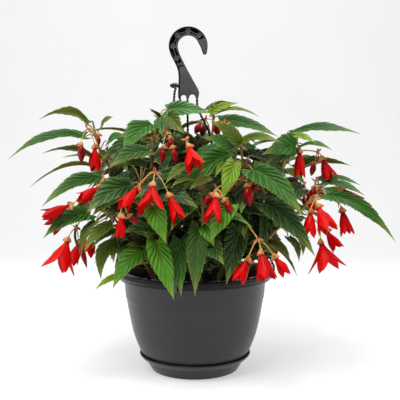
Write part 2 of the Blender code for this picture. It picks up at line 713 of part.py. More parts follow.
def clip_path(points, direction):
    """A strand's route with its end led outside the rim."""
    outside = polar(direction, RIM_RADIUS + GAP + CLIP_THICK * 0.7, CLIP_TOP - 4)
    return [mm(p) for p in points] + [mm(outside)]


def strand_tube(points, direction, extra=0.0):
    """One thin strand of the hanger."""
    path = clip_path(points, direction)
    return tube(path, [STRAND_RADIUS + extra] * len(path), 4)


def plan_plant():
    """Settle every stem, leaf and spray, and return them with the ways their stalks sway."""
    draw = random.Random(11)
    stems = dict(STEMS)
    leaves, sprays = list(LEAVES), list(SPRAYS)
    for name, direction, reach, height in BACK_STEMS:
        stems[name] = back_stem(direction, reach, height)
        leaves += back_leaves(name, direction, reach, height, draw)
        sprays += back_sprays(name, direction, reach, height, draw)
    places = Places()
    places.add("pot", [lathe([(0, 1), (RIM_RADIUS + 3, 1), (RIM_RADIUS + 3, RIM_TOP + 2),
                              (110, RIM_TOP + 2), (110, SOIL_CROWN), (0, SOIL_CROWN)])])
    for points, direction in STRANDS.values():
        places.add("hanger", [strand_tube(points, direction, 0.7)])
    places.add("hanger", [block((-42, -4, 424), (9, 4, 545))])
    places.add("fourth_strand", [strand_tube(FOURTH_STRAND, FOURTH_DIRECTION, 0.7)])
    paths = {name: stem_path(stem) for name, stem in stems.items()}
    for name, stem in stems.items():
        places.add(name, [stem_tube(stem, 0.5)])
    settled_sprays, settled_leaves = [], []
    for number, spray in enumerate(sprays, 1):
        found = settle_spray(f"spray_{number:02d}", spray, paths[spray.stem], places)
        if found:
            settled_sprays.append((number, *found))
    for leaf in leaves:
        found = settle_leaf(leaf, paths[leaf.stem], places)
        if found:
            settled_leaves.append(found)
    return stems, paths, settled_leaves, settled_sprays


# Objects.

PLANT_SOLVER = "MANIFOLD"    # the exact one leaves open edges on crossing blades


def material(name, colour, roughness):
    """A plain dielectric material."""
    made = bpy.data.materials.new(name)
    made.use_nodes = True
    surface = made.node_tree.nodes["Principled BSDF"]
    surface.inputs["Base Color"].default_value = (*colour, 1)
    surface.inputs["Roughness"].default_value = roughness
    surface.inputs["Metallic"].default_value = 0
    return made


def solid(name, shape, finish=None):
    """An object from points and faces, with its faces turned outwards."""
    points, faces = shape
    work = bmesh.new()
    corners = [work.verts.new(p) for p in points]
    for face in faces:
        work.faces.new([corners[k] for k in face])
    bmesh.ops.recalc_face_normals(work, faces=work.faces)
    mesh = bpy.data.meshes.new(name)
    work.to_mesh(mesh)
    work.free()
    made = bpy.data.objects.new(name, mesh)
    bpy.context.scene.collection.objects.link(made)
    if finish:
        mesh.materials.append(finish)
    return made


def apply_modifiers(thing):
    """Make an object's modifiers part of its mesh."""
    graph = bpy.context.evaluated_depsgraph_get()
    mesh = bpy.data.meshes.new_from_object(thing.evaluated_get(graph))
    thing.modifiers.clear()
    thing.data = mesh


def combine(name, body, shapes, operation, finish, solver="EXACT"):
    """One solid from a body and the shapes that are joined to it or cut from it."""
    made = solid(name, body, finish)
    others = bpy.data.collections.new(name)
    for shape in shapes:
        piece = solid(f"{name}_piece", shape)
        bpy.context.scene.collection.objects.unlink(piece)
        others.objects.link(piece)
    change = made.modifiers.new("combine", "BOOLEAN")
    change.operation = operation
    change.solver = solver
    change.operand_type = "COLLECTION"
    change.collection = others
    apply_modifiers(made)
    for piece in list(others.objects):
        bpy.data.objects.remove(piece)
    bpy.data.collections.remove(others)
    return made


def shade(thing, angle=35):
    """Smooth shading with sharp edges kept."""
    thing.data.shade_smooth()
    thing.data.set_sharp_from_angle(angle=math.radians(angle))


def make_pot(finish):
    """The pot: foot ring, curved body with one fine ledge, and a skirted rim."""
    inner = RIM_RADIUS - 13.4
    profile = [
        (0, 5.5), (56, 5.5), (58, SAUCER_FLOOR + GAP), (64, SAUCER_FLOOR + GAP), (72.6, 12.5),
        (75.3, 18.5), (84.5, 25.5), (97.1, 55.7), (104.8, 89), (109, LEDGE - 1), (109.8, LEDGE),
        (inner + POT_WALL + 0.2, RIM_TOP - 2.7), (RIM_RADIUS - 6.4, RIM_TOP - 2.7),
        (RIM_RADIUS - 6.4, SKIRT_BOTTOM), (RIM_RADIUS - 4.4, SKIRT_BOTTOM),
        (RIM_RADIUS - 2.4, SKIRT_BOTTOM + 5), (RIM_RADIUS, SKIRT_BOTTOM + 6.5),
        (RIM_RADIUS, RIM_TOP), (inner, RIM_TOP), (107.6, LEDGE), (102.8, 89), (95.2, 56.3),
        (82.6, 28), (73.3, 19.5), (70.6, 13.5), (62.5, 7.5), (0, 7.5)]
    drains = []
    for k in range(DRAIN_HOLES):
        x, y, z = polar(30 + 360 * k / DRAIN_HOLES, DRAIN_RING, 0)
        drains.append(tube([mm((x, y, 3)), mm((x, y, 10))], [DRAIN_RADIUS] * 2, 8))
    pot = combine("pot", lathe(profile), drains, "DIFFERENCE", finish)
    shade(pot)


def make_saucer(finish):
    """The saucer: a narrow foot and an out-turned lip."""
    profile = [(0, 0), (69, 0), (78, 15.5), (84, 19), (88.2, 23.5), (88.2, 25.5), (86.4, 25.5),
               (82.8, 21), (76.2, 16.5), (68, SAUCER_FLOOR), (0, SAUCER_FLOOR)]
    shade(solid("saucer", lathe(profile), finish))


def make_soil(stems, finish):
    """Soil that fills the pot, with a plain hole for every stem."""
    profile = [(0, 7.8), (62.2, 7.8), (70.2, 13.8), (72.9, 19.9), (82.1, 28.4), (94.8, 56.6), (107.1, LEDGE),
               (109, SOIL_EDGE), (60, SOIL_EDGE + 3), (0, SOIL_CROWN)]
    holes = []
    for stem in stems.values():
        x, y = stem.path[0]
        low = mm((x, y, SOIL_EDGE - ROOT_DEPTH - GAP))
        high = mm((x, y, SOIL_CROWN + 6))
        holes.append(tube([low, high], [stem.radius + GAP + 0.05] * 2, STEM_SIDES))
    shade(combine("soil", lathe(profile), holes, "DIFFERENCE", finish), 60)


def hook_outline():
    """The hook's bend, its tapered shank and the scalloped foot of the plate."""
    tip = [(18.8, 500), (15.3, 497.4), (12.6, 499.4), (8.8, 509.8)]
    left = [(-38.5, 497), (-31.9, 484.3), (-27.4, 473), (-26, 458.8), (-26.8, 436), (-26.4, 428)]
    foot = [(-22.6, 428), *arc((-18, 429.5), 4.2, 180, 0, 4), (-13.8, 428), (-9.8, 428),
            *arc((-4.2, 429.5), 5, 180, 0, 4), (1.2, 428), (5, 428)]
    right = [(6.8, 436), (4.8, 443), (-4, 458.8), (-15.9, 481), (-23.9, 497.5)]
    outer = arc(HOOK, HOOK_OUTER, -10, 190, 10)
    inner = arc(HOOK, HOOK_INNER, 195, 22, 8)
    return outer + left + foot + right + inner + tip[::-1]


def pocket_outline():
    """The sunk face between the hook's raised edges."""
    outer = arc(HOOK, HOOK_OUTER - 2, 30, 192, 8)
    inner = arc(HOOK, HOOK_INNER + 2, 195, 30, 7)
    return outer + [(-29.6, 484), (-25.6, 477), (-19.6, 481)] + inner


def on_hook(angle):
    """A place on the middle line of the hook's bend."""
    middle = (HOOK_OUTER + HOOK_INNER) / 2
    return arc(HOOK, middle, angle, angle, 1)[0]


def rib(start, end):
    """A low bar on the hook's face from one place to another."""
    (x0, z0), (x1, z1) = start, end
    long = math.hypot(x1 - x0, z1 - z0)
    side = ((z1 - z0) / long * RIB_WIDE / 2, -(x1 - x0) / long * RIB_WIDE / 2)
    outline = [(x0 + side[0], z0 + side[1]), (x1 + side[0], z1 + side[1]),
               (x1 - side[0], z1 - side[1]), (x0 - side[0], z0 - side[1])]
    deep = HOOK_THICK / 2 - 0.15
    return plate(outline[::-1], -deep, deep)


def clip(direction):
    """The end of a strand: a flat tongue outside the rim, with a lip under the skirt."""
    inner, outer = RIM_RADIUS + GAP + 0.1, RIM_RADIUS + GAP + 0.1 + CLIP_THICK
    bottom = SKIRT_BOTTOM - GAP - CLIP_THICK
    half = CLIP_WIDE / 2
    tongue = [(inner, CLIP_TOP), (inner, SKIRT_BOTTOM - GAP), (RIM_RADIUS - 5.6, SKIRT_BOTTOM - GAP),
              (RIM_RADIUS - 5.2, bottom), (outer, bottom), (outer, CLIP_TOP)]
    points, faces = plate(tongue, -half, half)
    turn = Matrix.Rotation(math.radians(direction), 3, "Z")
    return [turn @ p for p in points], faces


def make_hanger(finish):
    """Hook, plate, side peg and the three strands, in one moulding."""
    half = HOOK_THICK / 2
    pockets = [plate(pocket_outline(), -half - 1, -half + POCKET_DEEP),
               plate(pocket_outline(), half - POCKET_DEEP, half + 1)]
    body = combine("hanger_body", plate(hook_outline(), -half, half), pockets, "DIFFERENCE", finish)
    shank = (-29.2, 491.5)
    bosses = [on_hook(angle) for angle in (44, 90, 136, 182)] + [shank]
    added = []
    for x, z in bosses:
        added.append(tube([mm((x, -half + 0.1, z)), mm((x, half - 0.1, z))], [BOSS_RADIUS] * 2, 6))
    for angle in (67, 113, 159):
        away = arc(HOOK, HOOK_OUTER - 1.5, angle + 8, angle + 8, 1)[0]
        near = arc(HOOK, HOOK_INNER + 1.5, angle - 8, angle - 8, 1)[0]
        added.append(rib(away, near))
    added.append(rib((-37.6, 501), (-26.6, 499)))
    for name, (points, direction) in STRANDS.items():
        added += [strand_tube(points, direction), clip(direction)]
    peg = [(-25, PEG_RADIUS), (-33.2, PEG_RADIUS), (-33.4, 3.4), (-40, 0.5)]
    added.append(tube([mm((x, 0, PEG_HEIGHT)) for x, radius in peg],
                      [radius for x, radius in peg], 8))
    start = ([v.co.copy() for v in body.data.vertices], [list(p.vertices) for p in body.data.polygons])
    bpy.data.objects.remove(body)
    shade(combine("hanger", start, added, "UNION", finish))


def make_fourth_strand(finish):
    """The separate strand: an eyelet on the side peg, and a clip over the rim at the front."""
    wide = 1.25
    ring = tube([mm((EYELET_X - wide, 0, PEG_HEIGHT)), mm((EYELET_X + wide, 0, PEG_HEIGHT))],
                [EYELET_RADIUS] * 2, 10)
    bore = tube([mm((EYELET_X - 5, 0, PEG_HEIGHT)), mm((EYELET_X + 5, 0, PEG_HEIGHT))],
                [PEG_RADIUS + GAP + 0.1] * 2, 8)
    joined = combine("fourth_joined", ring, [strand_tube(FOURTH_STRAND, FOURTH_DIRECTION),
                                             clip(FOURTH_DIRECTION)], "UNION", finish)
    start = ([v.co.copy() for v in joined.data.vertices],
             [list(p.vertices) for p in joined.data.polygons])
    bpy.data.objects.remove(joined)
    shade(combine("fourth_strand", start, [bore], "DIFFERENCE", finish))


def make_stem(name, stem, path, leaves, sprays, finish):
    """A stem with its leaves and the stalks of its sprays, in one piece."""
    shapes = [leaf_with_stalk(leaf, path, sway) for leaf, sway in leaves]
    shapes += [peduncle(spray, path, sway) for number, spray, sway in sprays]
    shade(combine(f"leafy_stem_{name}", stem_tube(stem), shapes, "UNION", finish, PLANT_SOLVER), 50)


def make_spray(number, spray, path, finish):
    """A bract with its flower stalks, ovaries, buds and petals, in one piece."""
    shapes = [flower_shape(spray, flower) for flower in spray.flowers]
    made = combine(f"spray_{number:02d}", hub(spray, path), shapes, "UNION", finish, PLANT_SOLVER)
    shade(made, 50)


def main():
    for thing in list(bpy.data.objects):
        bpy.data.objects.remove(thing)
    plastic = material("grey plastic", (0.045, 0.046, 0.048), 0.45)
    earth = material("soil", (0.02, 0.014, 0.01), 0.95)
    green = material("leaf green", (0.06, 0.2, 0.05), 0.5)
    red = material("petal red", (0.75, 0.01, 0.01), 0.4)
    stems, paths, leaves, sprays = plan_plant()
    make_pot(plastic)
    make_saucer(plastic)
    make_soil(stems, earth)
    make_hanger(plastic)
    make_fourth_strand(plastic)
    for name, stem in stems.items():
        own_leaves = [entry for entry in leaves if entry[0].stem == name]
        own_sprays = [entry for entry in sprays if entry[1].stem == name]
        make_stem(name, stem, paths[name], own_leaves, own_sprays, green)
    for number, spray, sway in sprays:
        make_spray(number, spray, paths[spray.stem], red)


main()
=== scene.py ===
"""Begonia hanging basket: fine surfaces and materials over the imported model.

The frame is in metres, +Z up, and the camera looks along +Y. Sizes and places below are in
millimetres, apart from those of the camera, the lights and the stage, which are in metres.
"""
import itertools
import json
import math
import random
from collections import namedtuple

import bmesh
import bpy
from mathutils import Matrix, Quaternion, Vector, noise
from mathutils.bvhtree import BVHTree

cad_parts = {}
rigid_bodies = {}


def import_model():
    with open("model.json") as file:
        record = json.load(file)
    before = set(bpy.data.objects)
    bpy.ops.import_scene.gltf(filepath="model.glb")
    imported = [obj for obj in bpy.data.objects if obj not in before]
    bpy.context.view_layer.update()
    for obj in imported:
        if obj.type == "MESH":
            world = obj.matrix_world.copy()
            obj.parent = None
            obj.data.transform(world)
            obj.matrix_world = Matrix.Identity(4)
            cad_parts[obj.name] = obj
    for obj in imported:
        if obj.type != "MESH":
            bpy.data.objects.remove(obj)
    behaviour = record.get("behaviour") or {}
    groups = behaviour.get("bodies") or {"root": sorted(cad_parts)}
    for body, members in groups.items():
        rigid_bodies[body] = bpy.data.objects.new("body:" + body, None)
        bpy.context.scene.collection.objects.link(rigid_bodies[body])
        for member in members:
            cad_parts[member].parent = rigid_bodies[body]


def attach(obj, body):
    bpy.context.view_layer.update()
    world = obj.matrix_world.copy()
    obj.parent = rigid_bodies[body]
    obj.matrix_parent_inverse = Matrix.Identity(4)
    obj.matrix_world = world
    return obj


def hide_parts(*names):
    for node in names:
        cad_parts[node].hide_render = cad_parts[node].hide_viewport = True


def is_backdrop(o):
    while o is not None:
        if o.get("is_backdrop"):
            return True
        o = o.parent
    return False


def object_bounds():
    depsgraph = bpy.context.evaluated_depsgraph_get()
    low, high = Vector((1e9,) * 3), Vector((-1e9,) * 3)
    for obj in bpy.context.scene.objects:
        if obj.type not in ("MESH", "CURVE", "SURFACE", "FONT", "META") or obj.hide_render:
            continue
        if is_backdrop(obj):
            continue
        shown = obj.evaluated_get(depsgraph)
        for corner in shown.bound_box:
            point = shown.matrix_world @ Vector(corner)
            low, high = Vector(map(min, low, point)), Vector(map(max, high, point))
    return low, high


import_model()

MM = 0.001
GAP = 0.3                    # between pieces that touch

# camera, light and surround
CAMERA_PLACE = (0.008, -1.05, 0.325)
CAMERA_DIP = 1.6             # degrees below level
CAMERA_SHIFT = -0.0455
CAMERA_LENS = 59.3
CAMERA_SENSOR = 36           # millimetres, as the lens
SURROUND = 0.44              # brightness all round, except where it is dimmer, behind the camera
DIM_SURROUND = 0.2
SURROUND_FADE = (-0.95, -0.1)    # y of the directions between which it brightens
# Each light: name, place, the place that it looks at, size and power.
LIGHTS = [("key", (-0.6, -1.15, 2.4), (0, 0, 0.25), 1.0, 54),
          ("left strip", (-1.7, -0.5, 0.5), (0, 0, 0.15), 0.8, 9),
          ("right strip", (1.8, -0.4, 0.5), (0, 0, 0.15), 0.8, 8),
          ("above", (0.3, 0.1, 2.6), (0, 0, 0.2), 1.8, 22)]
FLOOR_GLOW = 0.47            # the floor and backdrop are lit from within, as on a light table
WALL_SHADE = 0.85            # how bright the backdrop is beside the floor
WALL_FADE = (0.3, 1.5)       # y between which the floor darkens towards the backdrop
FLOOR_FRONT = -1.6
FLOOR_BACK = 1.2
FLOOR_LEVEL = -0.0005
COVE_RADIUS = 0.6
WALL_TOP = 3.0
STAGE_HALF = 3.0             # half the width of the stage

# pot and saucer
SIDES = 24
ROUND_SIDES = 96
RIM_RADIUS = 125
RIM_TOP = 156
SKIRT_BOTTOM = 144
POT_WALL = 2
LEDGE = 114                  # height of the fine ledge round the body
SAUCER_FLOOR = 2.4
SOIL_EDGE = 138
SOIL_CROWN = 142
SOIL_RADIUS = 109
SOIL_RINGS = 46
SOIL_SIDES = 160
ROOT_DEPTH = 35              # how far a stem stands in the soil
CRUMBS = 420

# hanger
HOOK = (-10.7, 511)          # x and z of the middle of the hook's bend
HOOK_OUTER = 30.9
HOOK_INNER = 16.6
HOOK_THICK = 5
FLANK_WIDE = 3.2             # the flank that shows beside the hook's raised face, painted dark as shade
FLANK_STEP = 0.9             # from the raised face back to the core
EDGE_STEP = 0.9              # how far in the raised face stands at its other edges
POCKET_DEEP = 2.0            # depth of the sunk faces
BOSS_RADIUS = 4.1
RIB_WIDE = 1.3
STRAND_RADIUS = 1.7
BEAD_LONG = 5.4
BEAD_SWELL = 1.25
PEG_HEIGHT = 448.5
PEG_RADIUS = 1.9
EYELET_X = -30.5
EYELET_RADIUS = 4.6
CLIP_WIDE = 8
CLIP_THICK = 2
CLIP_TOP = 163

# plant
STEM_SIDES = 5
STALK_RADIUS = 0.95
FLOWER_STALK_RADIUS = 0.8
PEDUNCLE_RADIUS = 1.1
OVARY_LONG = 8
HUB_LONG = 6
CLEAR = 0.9                  # half thickness given to a blade while it looks for a free place
LEAF_THICK = 0.5
TOOTH_RISE = 0.72            # share of a tooth that runs outwards before it drops back
VEIN_TOOTH = 0.13
SMALL_TOOTH = 0.1
RIB_CROWD = 2.5              # how much the side veins crowd towards the stalk
LOBE_BACK = 0.1              # how far the blade's lobes reach back past its foot
BROAD_SIDE = 1.12            # the two halves of a blade differ in width
NARROW_SIDE = 0.9
FACING = 9                   # degrees that a front leaf turns further towards the camera
FULLER = 1.14                # the quilted blade is this much wider than its plain outline
QUILT = 0.105
INNER_LEAVES = 34            # places tried on each stem
LOW_LEAVES = 7               # more of them close to the soil
INNER_TEETH = 2              # small teeth to each vein of an inner leaf
INNER_COLUMNS = (0, 0.3, 0.7, 1.0)
LEAF_TEETH = 3
LEAF_COLUMNS = (0, 0.15, 0.4, 0.65, 0.88, 1.0)
BOX_MARGIN = 0.005           # metres that the tips of inner leaves keep from the frame's box
SIGHT_END = 0.003            # metres before a shown place at which the line of sight stops
SPIRAL = 137.5               # degrees from one inner leaf to the next round a stem
SPIRAL_TURN = 2.4            # the like in radians, from one scale or anther to the next
LEAF_DROP = 14               # a stalk leaves the stem this far below the blade or spray it carries
SPRAY_DROP = 30
SHOWN_STRAND = 375           # the strands stay in sight above this height
KNOT_LONG = 4
KNOT_SWELL = 0.5
STIPULE_LONG = 7
WING_REACH = 4.2
OVARY_SIDES = 24
NECK_RADIUS = 2.5
PETAL_ROWS = 12
PETAL_CUP = 0.48
PETAL_THICK = 0.45
BRACT_LONG = 9
BRACT_THICK = 0.4
ANTHERS = 7
BUD_ROWS = 12
BUD_SIDES = 16
SHARP_ANGLE = 40

# Tones are places along the two colour lists below.
TONES = {"deep": 0.04, "dark": 0.16, "mid": 0.3, "bright": 0.44, "yellow": 0.58, "olive": 0.72, "blue": 0.86,
         "pale": 0.96}
# Painted shade and light: inner leaves at the front take dark tones for the shade inside the plant, and
# lighter tones high up.
INNER_SHADE_TONES = ("deep", "dark", "deep", "dark", "deep", "mid")
HIGH_LIT_TONES = ("dark", "mid", "mid", "blue", "dark", "olive")
HIGH = 318                   # inner leaves above this height take the lighter tones, as painted light
BACK_TONES = ("dark", "mid", "dark", "olive", "blue", "bright", "deep")
LEAF_COLOURS = [(0.04, (6, 32, 8)), (0.16, (12, 60, 12)), (0.3, (32, 98, 16)), (0.44, (76, 150, 14)),
                (0.58, (134, 166, 20)), (0.72, (92, 108, 8)), (0.86, (36, 88, 38)), (0.96, (84, 142, 76))]
UNDER_COLOURS = [(0.04, (14, 34, 8)), (0.16, (34, 64, 14)), (0.3, (62, 100, 20)), (0.44, (98, 142, 26)),
                 (0.58, (144, 160, 30)), (0.72, (112, 116, 18)), (0.86, (70, 108, 48)),
                 (0.96, (112, 152, 92))]
PETAL_COLOURS = [(0.0, (118, 0, 6)), (0.25, (168, 0, 4)), (0.5, (206, 3, 3)), (0.8, (228, 18, 8))]

Stem = namedtuple("Stem", "path radius")
Leaf = namedtuple("Leaf", "stem base tip width arch turn tone", defaults=["mid"])
Flower = namedtuple("Flower", "kind base tip spread petals")
Spray = namedtuple("Spray", "stem bract flowers")

# Stems of the front half: points from the soil up, and the radius at the soil.
STEMS = {
    "a": Stem([(-45, 12), (-95, 14, 235), (-130, 8, 307), (-150, -5, 345), (-161, -10, 390)], 3.2),
    "b": Stem([(-62, -32), (-95, -55, 205), (-122, -72, 245), (-150, -80, 262)], 3.0),
    "c": Stem([(-28, -5), (-55, -20, 220), (-66, -30, 300), (-62, -42, 360), (-56, -42, 394)], 3.6),
    "d": Stem([(-40, -62), (-58, -88, 205), (-74, -103, 260), (-76, -106, 330)], 3.2),
    "e": Stem([(8, 22), (14, 14, 240), (24, 26, 330), (30, 22, 398)], 3.2),
    "f": Stem([(38, -18), (62, -38, 225), (74, -58, 285), (69, -72, 348)], 3.4),
    "g": Stem([(8, -66), (8, -92, 195), (12, -106, 245), (10, -108, 285)], 3.0),
    "h": Stem([(52, 20), (98, 5, 235), (135, -10, 310), (149, -20, 352)], 3.2),
    "i": Stem([(72, -28), (112, -42, 210), (155, -45, 248), (182, -42, 275), (196, -40, 293)], 3.2),
}

# Stems of the back half stand by rule: direction in degrees from +X, reach and height.
BACK_STEMS = [("j", 28, 150, 322), ("k", 62, 125, 360), ("l", 100, 135, 335),
              ("m", 122, 120, 368), ("n", 155, 150, 330)]

# Leaves of the front half: stem, base, tip, width, arch, turn towards the viewer in degrees, and tone. The
# tone partly paints light and shade: the dark tone stands partly for the shade that some leaves sit in, and
# the bright tone of leaves 0, 2 and 34 makes up for the shadow that they fall in.
LEAVES = [
    Leaf("a", (-169, -10, 387), (-241, -30, 392), 26, 15, -24, "bright"),
    Leaf("a", (-172, -30, 364), (-280, -60, 331), 26, 14, 22),
    Leaf("a", (-155, -40, 320), (-241, -90, 289), 24, 12, -16, "bright"),
    Leaf("a", (-146, -12, 383), (-126, -30, 397), 16, 3, 25, "olive"),
    Leaf("a", (-130, -50, 357), (-98, -82, 364), 16, 5, 20),
    Leaf("b", (-138, -60, 301), (-218, -110, 263), 27, 10, 25),
    Leaf("b", (-153, -85, 250), (-213, -118, 219), 24, 8, 25),
    Leaf("b", (-172, -82, 233), (-164, -105, 187), 14, 5, 0, "dark"),
    Leaf("b", (-144, -90, 240), (-162, -108, 193), 16, 6, 10, "olive"),
    Leaf("b", (-117, -110, 237), (-153, -138, 201), 18, 6, 22, "olive"),
    Leaf("b", (-111, -98, 227), (-146, -116, 204), 14, 5, 15),
    Leaf("b", (-113, -92, 211), (-133, -112, 157), 20, 12, 30, "olive"),
    Leaf("d", (-72, -105, 197), (-114, -135, 149), 28, 8, 15, "bright"),
    Leaf("d", (-109, -108, 162), (-140, -128, 147), 10, 3, 20, "yellow"),
    Leaf("d", (-53, -128, 214), (-27, -158, 138), 27, 8, 0, "bright"),
    Leaf("g", (-20, -113, 216), (-18, -143, 140), 24, 8, 0),
    Leaf("g", (7, -122, 233), (1, -148, 141), 26, 8, 0, "blue"),
    Leaf("g", (64, -108, 228), (44, -142, 156), 28, 8, 0, "dark"),
    Leaf("d", (-55, -142, 267), (-37, -172, 217), 24, 5, 0, "bright"),
    Leaf("f", (58, -110, 325), (37, -142, 271), 22, 6, 10, "yellow"),
    Leaf("f", (50, -80, 338), (-20, -132, 282), 27, 9, 25),
    Leaf("f", (43, -100, 325), (29, -118, 305), 9, 3, 0, "yellow"),
    Leaf("g", (21, -122, 304), (-7, -138, 288), 12, 3, 15, "olive"),
    Leaf("g", (51, -152, 268), (22, -182, 217), 25, 6, 5, "bright"),
    Leaf("f", (84, -108, 315), (148, -162, 253), 35, 8, 20),
    Leaf("i", (102, -98, 266), (166, -142, 197), 32, 8, 22, "dark"),
    Leaf("h", (152, -55, 351), (96, -110, 337), 28, 6, 45),
    Leaf("h", (144, -68, 344), (101, -98, 321), 22, 5, 35, "dark"),
    Leaf("h", (153, -20, 370), (249, -60, 369), 28, 9, 26),
    Leaf("h", (143, -55, 366), (178, -86, 354), 15, 4, 30, "yellow"),
    Leaf("h", (159, -48, 349), (203, -80, 344), 16, 7, 24),
    Leaf("i", (192, -30, 299), (251, -60, 292), 20, 6, 22),
    Leaf("i", (193, -50, 291), (246, -92, 273), 20, 6, 22),
    Leaf("i", (194, -68, 278), (288, -102, 212), 27, 13, 25),
    Leaf("i", (203, -18, 283), (265, -40, 259), 20, 7, -15, "bright"),
    Leaf("i", (111, -58, 206), (142, -78, 179), 14, 8, 15, "olive"),
    Leaf("i", (140, -70, 214), (153, -88, 180), 14, 6, 10, "olive"),
    Leaf("i", (156, -78, 214), (158, -92, 190), 9, 3, 10, "olive"),
    Leaf("c", (-62, -70, 381), (-100, -132, 336), 32, 8, 15),
    Leaf("c", (-55, -38, 396), (-68, -60, 407), 12, 2, 20),
    Leaf("c", (-51, -58, 393), (-46, -92, 363), 16, 4, 10),
    Leaf("c", (-43, -12, 409), (26, -42, 401), 23, 5, 25, "pale"),
    Leaf("c", (-42, -30, 398), (-15, -72, 368), 26, 5, 25, "olive"),
    Leaf("e", (20, -14, 409), (59, 0, 421), 17, 6, -25, "olive"),
    Leaf("e", (24, -24, 403), (69, -12, 420), 14, 4, 20, "yellow"),
    Leaf("e", (34, -10, 403), (97, -50, 396), 17, 8, 12, "olive"),
    Leaf("f", (38, -50, 389), (121, -92, 364), 24, 6, 24),
    Leaf("f", (63, -90, 351), (24, -112, 385), 22, 4, 30, "olive"),
    Leaf("f", (66, -80, 354), (123, -112, 355), 20, 8, 22, "olive"),
    Leaf("f", (53, -100, 344), (13, -132, 361), 20, 4, 30),
    Leaf("c", (-76, -98, 337), (-99, -132, 356), 20, 4, 30),
    Leaf("d", (-66, -118, 341), (-115, -162, 318), 24, 6, 25, "blue"),
    Leaf("d", (-68, -120, 320), (-98, -142, 322), 14, 4, 25, "dark"),
    Leaf("d", (-90, -120, 293), (-146, -162, 257), 30, 7, 30, "blue"),
    Leaf("d", (-98, -98, 277), (-144, -128, 250), 22, 6, 22, "dark"),
    Leaf("d", (-59, -122, 231), (-99, -148, 229), 18, 5, 30, "dark"),
    Leaf("g", (-13, -128, 321), (-40, -152, 296), 11, 4, 20, "olive"),
    Leaf("g", (-8, -128, 304), (-31, -148, 293), 10, 3, 15, "olive"),
    Leaf("d", (-34, -88, 264), (-39, -112, 208), 16, 4, 20, "dark"),
    Leaf("g", (13, -122, 234), (28, -142, 209), 17, 4, 10, "bright"),
    Leaf("i", (101, -58, 251), (93, -82, 179), 20, 6, 10, "dark"),
    Leaf("f", (76, -88, 300), (108, -112, 284), 24, 5, 30, "dark"),
]

# Flower sprays of the front half: stem, bract, then each bud or bloom from its foot to its tips.
SPRAYS = [
    Spray("a", (-163, -45, 378), [Flower("bud", (-170, -60, 352), (-170, -62, 325), 6, 0),
                                  Flower("bloom", (-152, -48, 348), (-151, -52, 311), 11, 4),
                                  Flower("bud", (-147, -42, 366), (-146, -44, 352), 3, 0)]),
    Spray("b", (-165, -92, 274), [Flower("bloom", (-179, -112, 265), (-215, -124, 247), 13, 4),
                                  Flower("bloom", (-178, -92, 255), (-211, -104, 229), 14, 4)]),
    Spray("b", (-129, -112, 303), [Flower("bloom", (-134, -130, 291), (-158, -147, 273), 13, 4)]),
    Spray("b", (-171, -97, 232), [Flower("bloom", (-181, -115, 214), (-193, -126, 172), 34, 5),
                                  Flower("bud", (-168, -88, 209), (-157, -92, 172), 4, 0)]),
    Spray("d", (-54, -136, 313), [Flower("bloom", (-78, -158, 291), (-98, -172, 264), 14, 4),
                                  Flower("bloom", (-56, -156, 294), (-59, -172, 257), 36, 4),
                                  Flower("bloom", (-33, -154, 279), (-19, -168, 247), 12, 4)]),
    Spray("d", (-96, -152, 270), [Flower("bloom", (-99, -165, 251), (-99, -170, 224), 8, 4),
                                  Flower("bud", (-86, -157, 252), (-76, -162, 243), 4, 0)]),
    Spray("c", (-41, -80, 369), [Flower("bud", (-35, -86, 360), (-35, -89, 344), 5, 0),
                                 Flower("bud", (-46, -90, 346), (-47, -93, 324), 5, 0),
                                 Flower("bud", (-31, -92, 346), (-27, -96, 324), 5, 0)]),
    Spray("g", (-11, -118, 358), [Flower("bloom", (-8, -130, 347), (3, -146, 316), 27, 4)]),
    Spray("e", (16, 12, 396), [Flower("bud", (8, 12, 388), (0, 10, 372), 6, 0),
                               Flower("bud", (14, 20, 384), (11, 19, 368), 6, 0),
                               Flower("bud", (33, 12, 386), (38, 10, 368), 6, 0)]),
    Spray("f", (42, -60, 383), [Flower("bud", (49, -62, 378), (64, -64, 369), 5, 0)]),
    Spray("f", (31, -136, 289), [Flower("bloom", (29, -158, 279), (24, -172, 246), 20, 4),
                                 Flower("bud", (22, -150, 280), (13, -155, 268), 5, 0),
                                 Flower("bud", (43, -154, 273), (52, -160, 257), 5, 0)]),
    Spray("f", (69, -102, 300), [Flower("bud", (75, -115, 291), (79, -119, 264), 8, 0),
                                 Flower("bud", (57, -110, 296), (48, -114, 284), 4, 0),
                                 Flower("bud", (82, -108, 294), (92, -110, 287), 4, 0)]),
    Spray("f", (52, -62, 328), [Flower("bud", (42, -66, 320), (25, -70, 311), 6, 0)]),
    Spray("h", (155, -50, 356), [Flower("bloom", (158, -56, 341), (158, -59, 302), 9, 4)]),
    Spray("h", (187, -45, 342), [Flower("bud", (182, -45, 323), (177, -48, 306), 5, 0),
                                 Flower("bloom", (194, -52, 330), (205, -58, 298), 18, 4)]),
    Spray("i", (183, -52, 298), [Flower("bud", (180, -56, 287), (176, -58, 272), 6, 0),
                                 Flower("bud", (188, -56, 285), (195, -58, 273), 6, 0)]),
    Spray("i", (212, -62, 293), [Flower("bloom", (221, -70, 285), (245, -79, 264), 14, 4)]),
    Spray("i", (180, -92, 276), [Flower("bloom", (165, -116, 254), (161, -124, 219), 14, 4),
                                 Flower("bloom", (176, -118, 262), (189, -132, 229), 24, 5)]),
    Spray("i", (211, -80, 268), [Flower("bloom", (217, -85, 254), (224, -92, 219), 13, 4)]),
    Spray("i", (184, -92, 233), [Flower("bloom", (182, -110, 210), (190, -120, 172), 38, 5),
                                 Flower("bloom", (194, -90, 224), (209, -96, 199), 14, 4)]),
    Spray("f", (87, -150, 221), [Flower("bloom", (71, -163, 193), (58, -170, 164), 15, 4),
                                 Flower("bloom", (91, -168, 203), (97, -178, 169), 24, 5),
                                 Flower("bloom", (112, -152, 195), (127, -158, 172), 10, 4)]),
]

